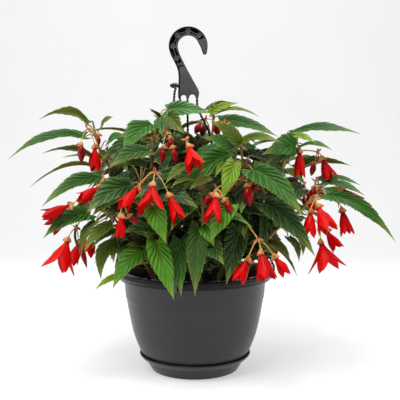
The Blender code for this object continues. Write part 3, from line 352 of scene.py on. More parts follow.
STRANDS = {
    "right": ([(3.2, 0, 432), (5, 0, 412), (20.7, 0, 378), (33.5, 0, 343), (80, 0, 255), (117, 0, 180)], 0),
    "left": ([(-24.5, 0, 432), (-27, 0, 415), (-67, 0, 340), (-80, 0, 312), (-97, 0, 294),
              (-112, 0, 245), (-122, 0, 185)], 180),
    "back": ([(-11.8, 0, 432), (-11.8, 2, 410), (-11, 50, 320), (-5, 95, 225), (0, 117, 182)], 90),
}
FOURTH_STRAND = [(EYELET_X, 0, 445.5), (-33, -5, 428), (-36, -38, 350), (-36, -70, 285),
                 (-32, -104, 210), (-27.5, -119, 176)]
FOURTH_DIRECTION = 257
# The plant's outline from the front: x, and the highest and lowest place that an inner leaf may reach.
OUTLINE = [(-180, 340, 225), (-150, 366, 185), (-118, 370, 150), (-70, 392, 140), (30, 396, 140),
           (80, 372, 140), (120, 352, 150), (150, 345, 190), (178, 325, 225)]
SWAYS = [(0, 0, 0), (0, 9, 0), (0, -9, 0), (0, 0, -9), (9, 0, 4), (-9, 0, 4), (0, 18, -4), (0, -18, -4)]
LEAF_EDGE = [(0.29, 1.08), (0.37, 0.88), (0.6, 1.12), (0.68, 0.84)]
SMALL_LEAF_EDGE = [(0.15, 0.95), (0.5, 1.08), (0.58, 0.85)]
SMALL_LEAF = 50              # shorter leaves get fewer teeth
PETAL_EDGE = (0.46,)
OPEN_PETAL_EDGE = (0.25, 0.65)
OPEN_SPREAD = 20             # flowers that open wider get fuller petals


def mm(point):
    """A place in millimetres as a vector in metres."""
    return Vector(point) * MM


def plus(place, step, share=1):
    """A place moved by a share of a step."""
    return tuple(a + share * b for a, b in zip(place, step))


def numbered(rows):
    """The numbers that each row's points have in one long list."""
    numbers, first = [], 0
    for row in rows:
        numbers.append(list(range(first, first + len(row))))
        first += len(row)
    return numbers


def even_rows(count, sides):
    """Point numbers of rows that all have the same number of points."""
    return [list(range(k * sides, (k + 1) * sides)) for k in range(count)]


# Plain shapes: each function gives a list of points and a list of faces.

def lathe(profile, sides=SIDES):
    """Turn a closed outline of (radius, height) round the Z axis; it may start and end on it."""
    points, rings, faces = [], [], []
    for radius, height in profile:
        count = sides if radius > 0 else 1
        rings.append(list(range(len(points), len(points) + count)))
        for k in range(count):
            angle = math.tau * k / sides
            points.append(mm((radius * math.cos(angle), radius * math.sin(angle), height)))
    for low, high in zip(rings, rings[1:]):
        for k in range(sides):
            corners = [low[k % len(low)], low[(k + 1) % len(low)],
                       high[(k + 1) % len(high)], high[k % len(high)]]
            faces.append(list(dict.fromkeys(corners)))
    return points, faces


def frames_along(path, side=None):
    """Side vectors that follow a path without twisting, one pair for each point."""
    tangents = []
    for k in range(len(path)):
        ahead = path[min(k + 1, len(path) - 1)]
        behind = path[max(k - 1, 0)]
        tangents.append((ahead - behind).normalized())
    if side is None:
        side = Vector((0, 0, 1)) if abs(tangents[0].x) > 0.8 else Vector((1, 0, 0))
    frames = []
    for tangent in tangents:
        side = (side - tangent * side.dot(tangent)).normalized()
        frames.append((side, tangent.cross(side)))
    return frames


def tube(path, radii, sides):
    """A round bar along a path in metres; the radii are in millimetres."""
    points, faces = [], []
    for place, radius, (side, across) in zip(path, radii, frames_along(path)):
        for k in range(sides):
            angle = math.tau * k / sides
            points.append(place + (side * math.cos(angle) + across * math.sin(angle)) * radius * MM)
    for row in range(len(path) - 1):
        start = row * sides
        for k in range(sides):
            after = (k + 1) % sides
            faces.append([start + k, start + after, start + sides + after, start + sides + k])
    faces.append(list(range(sides))[::-1])
    faces.append([len(points) - sides + k for k in range(sides)])
    return points, faces


def plate(outline, low, high):
    """An outline of (x, z) pulled straight along Y."""
    count = len(outline)
    points = [mm((x, low, z)) for x, z in outline] + [mm((x, high, z)) for x, z in outline]
    faces = [list(range(count)), [count + k for k in range(count)][::-1]]
    for k in range(count):
        after = (k + 1) % count
        faces.append([k, count + k, count + after, after])
    return points, faces


def block(low, high):
    """A box between two corners."""
    outline = [(low[0], low[2]), (high[0], low[2]), (high[0], high[2]), (low[0], high[2])]
    return plate(outline, low[1], high[1])


def arc(centre, radius, start, end, steps):
    """Points on a round stretch, angles in degrees."""
    angles = [math.radians(start + (end - start) * k / steps) for k in range(steps + 1)]
    return [(centre[0] + radius * math.cos(a), centre[1] + radius * math.sin(a)) for a in angles]


def strip(middle, edge):
    """Triangles between a rib and one edge, which share their first and last points."""
    faces = []
    i = j = 0
    while i < len(middle) - 1 or j < len(edge) - 1:
        next_rib = middle[i + 1][0] if i < len(middle) - 1 else 2
        next_edge = edge[j + 1][0] if j < len(edge) - 1 else 2
        if next_edge <= next_rib:
            corners = [middle[i][1], edge[j][1], edge[j + 1][1]]
            j += 1
        else:
            corners = [middle[i][1], edge[j][1], middle[i + 1][1]]
            i += 1
        if len(set(corners)) == 3:
            faces.append(corners)
    return faces


def blade(shape, stations, rib_stations, thick):
    """A thin closed blade: an outline either side of a rib, split alike on both faces.

    shape(t, share) gives a point and the direction that the face looks; stations pair a place
    along the rib with a share of the width there. Points 0 and count are the foot of the blade.
    """
    along = (0.0, *rib_stations, 1.0)
    places = [shape(t, 0) for t in along]
    places += [shape(t, sign * share) for sign in (1, -1) for t, share in stations]
    count = len(places)
    points = [p + n * thick * MM for p, n in places] + [p - n * thick * MM for p, n in places]
    middle = [(t, k) for k, t in enumerate(along)]
    faces = []
    for number in range(2):
        first = len(along) + number * len(stations)
        edge = [middle[0]] + [(t, first + k) for k, (t, _) in enumerate(stations)] + [middle[-1]]
        for corners in strip(middle, edge):
            faces += [corners, [count + c for c in corners]]
        for (_, near), (_, far) in zip(edge, edge[1:]):
            faces += [[near, count + near, count + far], [near, count + far, far]]
    return points, faces


# The plant's own shapes, as plain as they are while places are looked for.

def upward(axis, place):
    """The direction square to an axis that looks up and away from the middle of the pot."""
    outward = Vector((place.x, place.y, 0))
    wanted = Vector((0, 0, 1)) + outward.normalized() * 0.6
    return (wanted - axis * wanted.dot(axis)).normalized()


def leaf_width(t):
    """Share of the full half width along a long pointed leaf."""
    wave = math.sin(math.pi * t ** 0.55)
    return wave if t < 0.28 else wave ** 1.3


def side_width(side):
    """The share of the half width that one side of a blade has."""
    return BROAD_SIDE if side > 0 else NARROW_SIDE


def leaf_axes(leaf):
    """Where a blade starts and ends, and the ways that it rises, faces and spreads."""
    base, tip = mm(leaf.base), mm(leaf.tip)
    chord = (tip - base).normalized()
    up = upward(chord, (base + tip) / 2)
    lean = math.radians(leaf.turn) * (1 if chord.x >= 0 else -1)
    roll = Quaternion(chord, lean)
    return base, tip, up, roll @ up, roll @ chord.cross(up)


def leaf_shape(leaf):
    """The curved surface of a leaf, as a function of the place along it and across it."""
    base, tip, up, face, across = leaf_axes(leaf)

    def shape(t, side):
        lift = 4 * leaf.arch * (t ** 0.85) * (1 - t) * MM
        wide = leaf.width / 2 * leaf_width(t) * side * side_width(side) * MM
        fold = abs(wide) * 0.22
        return base.lerp(tip, t) + up * lift + across * wide + face * fold, face

    return shape


def leaf_blade(leaf, thick):
    """The toothed blade of one leaf."""
    long = (mm(leaf.tip) - mm(leaf.base)).length / MM
    edge = SMALL_LEAF_EDGE if long < SMALL_LEAF else LEAF_EDGE
    return blade(leaf_shape(leaf), edge, (0.45,), thick)


def bend(points, count):
    """A smooth curve through a few places, as count + 1 points for each stretch."""
    ends = [points[0] * 2 - points[1]] + points + [points[-1] * 2 - points[-2]]
    path = []
    for k in range(1, len(ends) - 2):
        p0, p1, p2, p3 = ends[k - 1:k + 3]
        for step in range(count):
            t = step / count
            path.append(0.5 * (2 * p1 + (p2 - p0) * t + (2 * p0 - 5 * p1 + 4 * p2 - p3) * t * t
                               + (3 * p1 - p0 - 3 * p2 + p3) * t ** 3))
    path.append(points[-1])
    return path


def stem_path(stem):
    """A stem's middle line, straight where it stands in the soil."""
    x, y = stem.path[0]
    foot = [mm((x, y, SOIL_EDGE - ROOT_DEPTH)), mm((x, y, SOIL_CROWN + 3))]
    return foot[:1] + bend([foot[1]] + [mm(p) for p in stem.path[1:]], 2)


def stem_tube(stem, extra=0.0):
    """The stem as a bar that thins towards its top."""
    path = stem_path(stem)
    last = len(path) - 1
    radii = [stem.radius * (1 - 0.5 * max(k - 1, 0) / last) + extra for k in range(last + 1)]
    tip = path[-1] + (path[-1] - path[-2]).normalized() * 3 * MM
    return tube(path + [tip], radii + [radii[-1] * 0.5], STEM_SIDES)


def nearest_on(path, place, drop=LEAF_DROP):
    """The point of a stem that a stalk to a place would leave from."""
    wanted = place - Vector((0, 0, drop * MM))
    return min(path[2:], key=lambda p: (p - wanted).length)


def stalk_path(leaf, path, sway):
    """The stalk's middle line, from the leaf back to the stem."""
    base = mm(leaf.base)
    root = nearest_on(path, base)
    rise = Vector((0, 0, 0.16 * (base - root).length))
    return [base, root.lerp(base, 0.5) + rise + mm(sway), root]


def leaf_stalk(leaf, path, sway):
    """The leaf's stalk alone."""
    return tube(stalk_path(leaf, path, sway), [STALK_RADIUS] * 3, 3)


def hub_direction(spray, path):
    """The way that a spray's stalk runs where it meets the bract."""
    bract = mm(spray.bract)
    root = nearest_on(path, bract, SPRAY_DROP)
    return ((bract - root).normalized() + Vector((0, 0, -0.4))).normalized()


def hub(spray, path):
    """The small swollen bract that a spray's flower stalks spring from."""
    bract = mm(spray.bract)
    heading = hub_direction(spray, path) * HUB_LONG * MM
    return tube([bract - heading / 2, bract, bract + heading / 2], [1.2, 2.4, 0.8], 3)


def peduncle_path(spray, path, sway):
    """The middle line of a spray's stalk, from the stem to just short of the bract."""
    bract = mm(spray.bract)
    root = nearest_on(path, bract, SPRAY_DROP)
    heading = hub_direction(spray, path)
    end = bract - heading * (HUB_LONG / 2 + GAP) * MM
    span = (end - root).length
    middle = root.lerp(end, 0.5) + Vector((0, 0, 0.12 * span)) + mm(sway)
    near = end - heading * min(8 * MM, span / 4)
    return [root, middle, near, end]


def peduncle(spray, path, sway):
    """The stalk that carries a spray."""
    return tube(peduncle_path(spray, path, sway), [PEDUNCLE_RADIUS] * 4, 3)


def flower_line(flower):
    """Where a flower's petals start and end, its direction, and where its ovary starts."""
    base, tip = mm(flower.base), mm(flower.tip)
    axis = (tip - base).normalized()
    return base, tip, axis, base - axis * OVARY_LONG * MM


def bud(spray, flower):
    """A flower's thin stalk, its ovary and its closed pointed petals."""
    bract = mm(spray.bract)
    base, tip, _, behind = flower_line(flower)
    thin, full = FLOWER_STALK_RADIUS, flower.spread * 0.9 + 0.4
    steps = [(bract, thin), (behind, thin), (behind.lerp(base, 0.55), 2.6), (base, 1.3),
             (base.lerp(tip, 0.45), full), (tip, 0.4)]
    places, radii = zip(*steps)
    return tube(places, radii, 4)


def petal_width(t):
    """Share of the full half width along a petal."""
    return math.sin(math.pi * t ** 0.8) ** 0.8


def bloom(spray, flower, thick):
    """A flower's stalk, its swollen ovary and its pointed petals, in one skin.

    Each petal grows from one edge of the ring where the ovary ends, in an outer and an inner layer.
    """
    bract = mm(spray.bract)
    base, tip, axis, behind = flower_line(flower)
    long = (tip - base).length
    thin, neck, count = FLOWER_STALK_RADIUS, NECK_RADIUS, flower.petals
    steps = [(bract, thin), (behind, thin * 1.3), (behind.lerp(base, 0.55), 4.4), (base, neck)]
    places, radii = zip(*steps)
    points, faces = tube(places, radii, count)
    faces.pop()
    outer_ring = list(range(len(points) - count, len(points)))
    inner_ring = [len(points) + k for k in range(count)]
    shrink = (neck - 2 * thick) / neck
    points += [base + (points[k] - base) * shrink for k in outer_ring]
    faces.append(inner_ring)
    open_out = long * math.tan(math.radians(flower.spread))
    edge = OPEN_PETAL_EDGE if flower.spread > OPEN_SPREAD else PETAL_EDGE
    wide = min(6.4, 0.2 * long / MM)
    for k in range(count):
        after = (k + 1) % count
        radial = ((points[outer_ring[k]] + points[outer_ring[after]]) / 2 - base).normalized()
        across = (points[outer_ring[after]] - points[outer_ring[k]]).normalized()
        outer = [(outer_ring[k], outer_ring[after])]
        inner = [(inner_ring[k], inner_ring[after])]
        for t in edge + (1,):
            half = wide * petal_width(t) * MM if t < 1 else 0
            reach = max(neck * MM + open_out * t ** 1.5,
                        half * (1 / math.tan(math.pi / count) + 0.2) + 2 * thick * MM) + 0.3 * MM
            middle = base + axis * long * t + radial * (reach - 0.2 * half)
            for layer, shift in ((outer, 0), (inner, 2 * thick * MM)):
                sides = (-half, half) if t < 1 else (0,)
                layer.append(tuple(len(points) + j for j in range(len(sides))))
                points += [middle + across * s - radial * shift for s in sides]
        for layer in (outer, inner):
            for (a, b), ahead in zip(layer, layer[1:]):
                faces += [[a, b, ahead[-1]]] + ([[a, ahead[1], ahead[0]]] if len(ahead) == 2 else [])
        for side in (0, -1):
            for row in range(len(outer) - 1):
                near, far = outer[row][side], outer[row + 1][side]
                near_in, far_in = inner[row][side], inner[row + 1][side]
                faces += [[near, far, far_in], [near, far_in, near_in]]
    return points, faces


def flower_shape(spray, flower, thick):
    """A bud or a bloom with its stalk."""
    return bud(spray, flower) if flower.kind == "bud" else bloom(spray, flower, thick)


# Finding a free place for every leaf and spray.

class Places:
    """What already stands in the basket, by node."""

    def __init__(self):
        self.items = []

    def box(self, points):
        """The lowest and highest corners round some points."""
        low = [min(p[k] for p in points) for k in range(3)]
        high = [max(p[k] for p in points) for k in range(3)]
        return low, high

    def add(self, node, shapes):
        """Note that shapes of a node now stand there."""
        for points, faces in shapes:
            self.items.append((node, self.box(points), BVHTree.FromPolygons(points, faces)))

    def is_free(self, node, shapes):
        """Whether shapes meet nothing; what stands in the named node doesn't count."""
        for points, faces in shapes:
            low, high = self.box(points)
            tree = None
            for other, (other_low, other_high), other_tree in self.items:
                if other == node:
                    continue
                if any(low[k] > other_high[k] or high[k] < other_low[k] for k in range(3)):
                    continue
                tree = tree or BVHTree.FromPolygons(points, faces)
                if tree.overlap(other_tree):
                    return False
        return True


def moved(point, dx=0, dy=0, dz=0):
    """A place shifted by a few millimetres."""
    return (point[0] + dx, point[1] + dy, point[2] + dz)


def leaf_choices(leaf, shrinks):
    """The leaf as drawn, then ever larger changes of depth, turn, height and length."""
    depths = (0, 8, -8, 16, -16, 26, -26, 38, -38)
    turns = (0, 18, -18)
    lifts = (0, 5, -5, 10)
    options = sorted(itertools.product(depths, depths, turns, lifts),
                     key=lambda o: abs(o[0]) + abs(o[1]) * 0.7 + abs(o[2]) * 0.6 + abs(o[3]) * 2)
    for shrink in shrinks:
        for near, far, turn, lift in options[:160]:
            base = moved(leaf.base, dy=near * 0.6, dz=lift * 0.6)
            tip = moved(leaf.tip, dy=far, dz=lift)
            tip = tuple(b + (t - b) * shrink for b, t in zip(base, tip))
            yield leaf._replace(base=base, tip=tip, turn=leaf.turn + turn, width=leaf.width * shrink)


def settle_leaf(leaf, path, places):
    """The first free version of a leaf and its stalk, or None.

    A leaf clears its own stem's leaves too where it can, and otherwise grows through them.
    """
    for skipped, shrinks in ((None, (1.0,)), (leaf.stem, (1.0, 0.8, 0.6))):
        for choice in leaf_choices(leaf, shrinks):
            shape = leaf_blade(choice, CLEAR)
            if not places.is_free(skipped, [shape]):
                continue
            for sway in SWAYS:
                stalk = leaf_stalk(choice, path, sway)
                if places.is_free(choice.stem, [stalk]):
                    places.add(choice.stem, [shape, stalk])
                    return choice, sway
    return None


def shifted_spray(spray, dx, dy, dz):
    """A whole spray moved by a few millimetres."""
    flowers = [f._replace(base=moved(f.base, dx, dy, dz), tip=moved(f.tip, dx, dy, dz))
               for f in spray.flowers]
    return spray._replace(bract=moved(spray.bract, dx, dy, dz), flowers=flowers)


def spray_proxies(spray, path):
    """The spray's bract and flowers, with petals a little fatter than they are made."""
    return [hub(spray, path)] + [flower_shape(spray, f, CLEAR) for f in spray.flowers]


def settle_spray(name, spray, path, places):
    """The first free version of a spray and of the stalk that carries it, or None."""
    steps = (0, 5, -5, 10, -10, 16, -16, 24, -24)
    options = sorted(itertools.product((0, 4, -4), steps, (0, 5, -5, 10)),
                     key=lambda o: abs(o[0]) * 2 + abs(o[1]) + abs(o[2]) * 2)
    for dx, dy, dz in options:
        choice = shifted_spray(spray, dx, dy, dz)
        shapes = spray_proxies(choice, path)
        if not places.is_free(name, shapes):
            continue
        for sway in SWAYS:
            stalk = peduncle(choice, path, sway)
            if not places.is_free(choice.stem, [stalk]):
                continue
            trial = Places()
            trial.add(choice.stem, [stalk])
            if trial.is_free(name, shapes):
                places.add(name, shapes)
                places.add(choice.stem, [stalk])
                return choice, sway
    return None


# The back half, by rule.

def polar(direction, reach, height):
    """A place at a direction in degrees from +X, a reach from the pot's axis and a height."""
    angle = math.radians(direction)
    return (reach * math.cos(angle), reach * math.sin(angle), height)


def back_stem(direction, reach, height):
    """A stem that leans out over the rim at the back."""
    foot = polar(direction, 52, 0)[:2]
    return Stem([foot, polar(direction, 0.55 * reach, 0.62 * height),
                 polar(direction + 2, 0.82 * reach, 0.85 * height),
                 polar(direction + 3, reach, height)], 3.2)


def back_leaves(name, direction, reach, height, draw):
    """Leaves in three tiers up a back stem; the low ones hang over the rim."""
    leaves = []
    tiers = [(0.62, 0.60, 2, 58, -46), (0.80, 0.78, 3, 78, -30), (0.98, 0.98, 3, 84, 6)]
    for share, level, count, long, rise in tiers:
        for k in range(count):
            swing = (k - (count - 1) / 2) * 46 + draw.uniform(-9, 9)
            heading = direction + swing
            start = polar(direction + swing * 0.32, share * reach + 26, level * height + 6 * k)
            reach_out = long * draw.uniform(0.9, 1.12)
            far = polar(heading, reach_out, rise * draw.uniform(0.6, 1.3))
            leaves.append(Leaf(name, start, plus(start, far), draw.uniform(22, 30), draw.uniform(6, 12),
                               draw.uniform(-24, 24)))
    return leaves


def back_sprays(name, direction, reach, height, draw):
    """Two sprays on each back stem, one high and one low."""
    sprays = []
    for side, share, level in ((-1, 1.05, 0.9), (1, 1.02, 0.66)):
        heading = direction + side * draw.uniform(13, 19)
        bract = polar(heading, reach * share + 22, height * level)
        flowers = []
        for k in (-1, 1):
            base = polar(heading + 7 * k, reach * share + 28 + 4 * k, height * level - 17 - 4 * k)
            out = polar(heading + 14 * k, draw.uniform(8, 14), -34)
            if k > 0 and level > 0.8:
                flowers.append(Flower("bud", base, plus(base, out, 0.6), 5, 0))
            else:
                flowers.append(Flower("bloom", base, plus(base, out), draw.uniform(10, 26), 4))
        sprays.append(Spray(name, bract, flowers))
    return sprays


def clip_path(points, direction):
    """A strand's route with its end led outside the rim."""
    outside = polar(direction, RIM_RADIUS + GAP + CLIP_THICK * 0.7, CLIP_TOP - 4)
    return [mm(p) for p in points] + [mm(outside)]


def strand_tube(points, direction, extra=0.0):
    """One thin strand of the hanger."""
    path = clip_path(points, direction)
    return tube(path, [STRAND_RADIUS + extra] * len(path), 4)


def plan_plant():
    """Settle every stem, leaf and spray, and return them with the ways their stalks sway."""
    draw = random.Random(11)
    stems = dict(STEMS)
    leaves, sprays = list(LEAVES), list(SPRAYS)
    for name, direction, reach, height in BACK_STEMS:
        stems[name] = back_stem(direction, reach, height)
        leaves += back_leaves(name, direction, reach, height, draw)
        sprays += back_sprays(name, direction, reach, height, draw)
    places = Places()
    places.add("pot", [lathe([(0, 1), (RIM_RADIUS + 3, 1), (RIM_RADIUS + 3, RIM_TOP + 2),
                              (110, RIM_TOP + 2), (110, SOIL_CROWN), (0, SOIL_CROWN)])])
    for points, direction in STRANDS.values():
        places.add("hanger", [strand_tube(points, direction, 0.7)])
    places.add("hanger", [block((-42, -4, 424), (9, 4, 545))])
    places.add("fourth_strand", [strand_tube(FOURTH_STRAND, FOURTH_DIRECTION, 0.7)])
    paths = {name: stem_path(stem) for name, stem in stems.items()}
    for name, stem in stems.items():
        places.add(name, [stem_tube(stem, 0.5)])
    settled_sprays, settled_leaves = [], []
    for number, spray in enumerate(sprays, 1):
        found = settle_spray(f"spray_{number:02d}", spray, paths[spray.stem], places)
        if found:
            settled_sprays.append((number, *found))
    for leaf in leaves:
        found = settle_leaf(leaf, paths[leaf.stem], places)
        if found:
            settled_leaves.append(found)
    return stems, paths, settled_leaves, settled_sprays, places


def low_leaves(name, path, draw):
    """Short leaves near a stem's foot, which close the view over the rim; their deep tone is painted shade.
    """
    foot = path[1] / MM
    outward = math.degrees(math.atan2(foot.y, foot.x))
    leaves = []
    for _ in range(LOW_LEAVES):
        heading = outward + draw.uniform(-85, 85)
        base = plus(foot, polar(heading, draw.uniform(8, 26), draw.uniform(22, 56)))
        long = draw.uniform(40, 66)
        away = polar(heading + draw.uniform(-25, 25), long * 0.95, draw.uniform(-12, 18))
        # Painted shade: these low leaves take the deepest tone.
        leaves.append(Leaf(name, base, plus(base, away), long * 0.42, draw.uniform(4, 8),
                           draw.uniform(-40, 40), "deep"))
    return leaves


def inner_tones(name, height):
    """The tones that an inner leaf may take: dark at the front as painted shade inside the plant, lighter
    high up as painted light, and lighter at the back.
    """
    if name not in STEMS:
        return BACK_TONES
    return HIGH_LIT_TONES if height > HIGH else INNER_SHADE_TONES


def inner_leaves(name, path, draw):
    """Leaves all round one stem, which fill the plant between the others."""
    leaves = low_leaves(name, path, draw)
    heading = draw.uniform(0, 360)
    for k in range(INNER_LEAVES):
        heading += SPIRAL
        root = path[1].lerp(path[-1], 0.14 + 0.86 * (k + draw.random()) / INNER_LEAVES)
        root = min(path[1:], key=lambda p: abs(p.z - root.z)).lerp(root, 0.5) / MM
        out = polar(heading + draw.uniform(-20, 20), draw.uniform(14, 38), draw.uniform(2, 22))
        base = plus(root, out)
        long = draw.uniform(52, 88)
        away = polar(heading + draw.uniform(-30, 30), long * 0.85, -long * draw.uniform(0.1, 0.6))
        tip = plus(base, away)
        tone = draw.choice(inner_tones(name, tip[2]))
        leaves.append(Leaf(name, base, tip, long * draw.uniform(0.34, 0.42), draw.uniform(4, 10),
                           draw.uniform(-25, 25), tone))
    return leaves


def shown_places(leaves, sprays):
    """Places on the front's own leaves, flowers and strands that stay in sight from the camera."""
    shown = []
    for leaf, _ in leaves:
        if leaf.stem in STEMS:
            shape = leaf_shape(leaf)
            shown += [shape(t, side)[0] for t in (0.1, 0.35, 0.6, 0.85) for side in (-0.6, 0, 0.6)]
    for _, spray, _ in sprays:
        if spray.stem in STEMS:
            shown.append(mm(spray.bract))
            for flower in spray.flowers:
                base, tip = mm(flower.base), mm(flower.tip)
                shown += [base.lerp(tip, t) + Vector((x, 0, 0))
                          for t in (-0.2, 0.3, 0.7, 1) for x in (-0.005, 0.005)]
    for points, _ in STRANDS.values():
        shown += [p for p in bend([mm(p) for p in points], 4) if p.z > SHOWN_STRAND * MM]
    return shown


def under_dome(place):
    """Whether a place lies inside the plant's outline as the camera sees it."""
    eye = Vector(CAMERA_PLACE)
    seen = (eye + (place - eye) * (-eye.y / (place.y - eye.y))) / MM
    for (x0, top0, low0), (x1, top1, low1) in zip(OUTLINE, OUTLINE[1:]):
        if x0 <= seen.x <= x1:
            share = (seen.x - x0) / (x1 - x0)
            return low0 + (low1 - low0) * share < seen.z < top0 + (top1 - top0) * share
    return False


def spoils_view(shape, shown):
    """Whether a blade sticks out of the outline or stands before one of the shown places."""
    if not all(under_dome(place) for place in shape[0]):
        return True
    tree = BVHTree.FromPolygons(*shape)
    eye = Vector(CAMERA_PLACE)
    for place in shown:
        way = place - eye
        if tree.ray_cast(eye, way.normalized(), way.length - SIGHT_END)[0]:
            return True
    return False


def settle_inner(paths, places, shown, draw):
    """The inner leaves that find a free place inside the frame's box and hide nothing shown."""
    low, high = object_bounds()
    settled = []
    for name, path in paths.items():
        for leaf in inner_leaves(name, path, draw):
            if not under_dome(mm(leaf.tip)):
                continue
            before = len(places.items)
            found = settle_leaf(leaf, path, places)
            inside = found and all(least + BOX_MARGIN < tip * MM < most - BOX_MARGIN
                                   for least, tip, most in zip(low, found[0].tip, high))
            if inside and not spoils_view(leaf_blade(found[0], CLEAR), shown):
                settled.append(found)
            else:
                del places.items[before:]
    return settled


# Fine shapes. Every point carries four numbers that its material reads.

class Skin:
    """The points, faces, finishes and marks of one piece while it is built."""

    def __init__(self):
        self.points, self.faces, self.slots, self.marks = [], [], [], []

    def add(self, points, faces, slot, marks):
        """Add a shape in one finish, with a mark for each point."""
        first = len(self.points)
        self.points += points
        self.marks += marks
        self.faces += [[first + k for k in face] for face in faces]
        self.slots += [slot] * len(faces)

    def add_rod(self, path, radii, sides, slot, tone, swell=None):
        """Add a bar; its marks are the share along it, its swelling and its tone."""
        points, faces = tube(path, radii, sides)
        last = len(path) - 1
        marks = []
        for row in range(last + 1):
            marks += [(row / last, swell[row] if swell else 0, 0, tone)] * sides
        self.add(points, faces, slot, marks)

    def add_sheet(self, rows, out, thick, slots, marks):
        """Add a thin sheet with two faces and a closed edge; its last row is one point, the tip."""
        flat = [p for row in rows for p in row]
        count = len(flat)
        top = numbered(rows)
        low = [[count + k for k in row] for row in top]
        points = [p + out * thick / 2 * MM for p in flat] + [p - out * thick / 2 * MM for p in flat]
        edges = [row[0] for row in top], [row[-1] for row in top], top[0]
        sides = []
        for edge in edges:
            sides += lace([edge, [count + k for k in edge]])
        first = len(self.points)
        self.add(points, lace(top), slots[0], marks + marks)
        self.faces += [[first + k for k in face] for face in lace(low)]
        self.slots += [slots[1]] * len(lace(low))
        self.faces += [[first + k for k in face] for face in sides]
        self.slots += [slots[0]] * len(sides)


def lace(rows, closed=False):
    """Faces between neighbouring rows of point numbers; a row of one point is a tip."""
    faces = []
    for near, far in zip(rows, rows[1:]):
        count = max(len(near), len(far))
        for k in range(count if closed else count - 1):
            after = (k + 1) % count
            corners = [near[k % len(near)], near[after % len(near)],
                       far[after % len(far)], far[k % len(far)]]
            faces.append(list(dict.fromkeys(corners)))
    return faces


def new_object(name, data):
    """A new object in the scene."""
    made = bpy.data.objects.new(name, data)
    bpy.context.scene.collection.objects.link(made)
    return made


def smooth(mesh):
    """Smooth shading, apart from the sharp edges."""
    mesh.shade_smooth()
    mesh.set_sharp_from_angle(angle=math.radians(SHARP_ANGLE))


def make_mesh(name, skin, finishes):
    """An object from a skin, with smooth faces that look outwards."""
    mesh = bpy.data.meshes.new(name)
    mesh.from_pydata(skin.points, [], skin.faces)
    mark = mesh.attributes.new("mark", "FLOAT_VECTOR", "POINT")
    mark.data.foreach_set("vector", [value for entry in skin.marks for value in entry[:3]])
    tone = mesh.attributes.new("tone", "FLOAT", "POINT")
    tone.data.foreach_set("value", [entry[3] for entry in skin.marks])
    used = sorted(set(skin.slots))
    for slot in used:
        mesh.materials.append(finishes[slot])
    mesh.polygons.foreach_set("material_index", [used.index(slot) for slot in skin.slots])
    work = bmesh.new()
    work.from_mesh(mesh)
    bmesh.ops.recalc_face_normals(work, faces=work.faces)
    work.to_mesh(mesh)
    work.free()
    smooth(mesh)
    return new_object(name, mesh)


def dress(piece, node):
    """Let a piece stand for a node of the frame."""
    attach(piece, "root")
    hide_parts(node)


# Leaves.

def leaf_outline(u):
    """Share of the full half width at the end of the vein line u."""
    wave = max(0, math.sin(math.pi * (0.1 + 0.9 * min(u, 1)) ** 0.6))
    return FULLER * (wave if u < 0.22 else wave ** 1.25)


def leaf_lines(veins, teeth):
    """Vein lines from base to tip, two for each small tooth, with 1 where the tooth stands out."""
    count = veins * teeth
    return [((tooth + rise * TOOTH_RISE) / count, rise) for tooth in range(count) for rise in (0, 1)]


def leaf_point(leaf, axes, u, side, high, veins, wave):
    """One point of the quilted blade: on vein line u, at side from -1 to 1 across."""
    base, tip, up, face, across = axes
    share = abs(side)
    rib, margin = u ** RIB_CROWD, -LOBE_BACK + (1 + LOBE_BACK) * u ** 0.8
    t = rib + (margin - rib) * share ** 0.9
    half = leaf.width / 2 * leaf_outline(u) * side_width(side) * MM
    phase = (u * veins) % 1
    edge = max(0, (share - 0.8) / 0.2)
    tooth = edge * (VEIN_TOOTH * (phase - 0.45) + SMALL_TOOTH * (high - 0.5))
    reach = half * share * (1 + tooth)
    lift = 4 * leaf.arch * max(t, 0) ** 0.85 * (1 - t) * MM
    fold = reach * 0.3 - reach * share * 0.14
    quilt = leaf.width * QUILT * leaf_outline(u) * math.sin(math.pi * phase) ** 0.8 * MM
    quilt *= math.sin(math.pi * (0.12 + 0.76 * share)) if share > 0 else 0
    ripple = half * 0.09 * share ** 2 * math.sin(math.tau * (1.7 * u + wave) + side)
    forward = (tip - base).normalized() * tooth * half * 0.6
    return base.lerp(tip, t) + up * lift + across * math.copysign(reach, side) \
        + face * (fold + quilt + ripple) + forward


def add_leaf(skin, leaf, path, sway, draw, teeth=LEAF_TEETH, shares=LEAF_COLUMNS):
    """A leaf's quilted, toothed blade with its stalk, which runs on under it as the rib."""
    if leaf.stem in STEMS:
        leaf = leaf._replace(turn=leaf.turn + FACING)
    axes = leaf_axes(leaf)
    base, tip, _, face, _ = axes
    long = (tip - base).length / MM
    veins = 8 if long > 85 else 7 if long > SMALL_LEAF else 5
    wave, tone = draw.random(), TONES[leaf.tone] + draw.uniform(-0.035, 0.035)
    columns = [-c for c in shares[:0:-1]] + list(shares)
    rows, marks = [], []
    for u, high in leaf_lines(veins, teeth):
        rows.append([leaf_point(leaf, axes, u, side, high, veins, wave) for side in columns])
        marks += [(u * veins, side, u, tone) for side in columns]
    rows.append([leaf_point(leaf, axes, 1, 0, 0, veins, wave)])
    marks.append((veins, 0, 1, tone))
    skin.add_sheet(rows, face, LEAF_THICK, ("leaf top", "leaf under"), marks)
    rib = [leaf_point(leaf, axes, (k / 10) ** (1 / RIB_CROWD), 0, 0, veins, wave) for k in range(1, 10)]
    below = face * (LEAF_THICK / 2 + 0.2) * MM
    line = bend(stalk_path(leaf, path, sway)[::-1], 5) + [p - below for p in rib]
    last = len(line) - 1
    radii = [STALK_RADIUS * min(1, 1.35 * (1 - k / last) + 0.2) for k in range(last + 1)]
    skin.add_rod(line, radii, 6, "leaf stalk", tone)


# Stems.

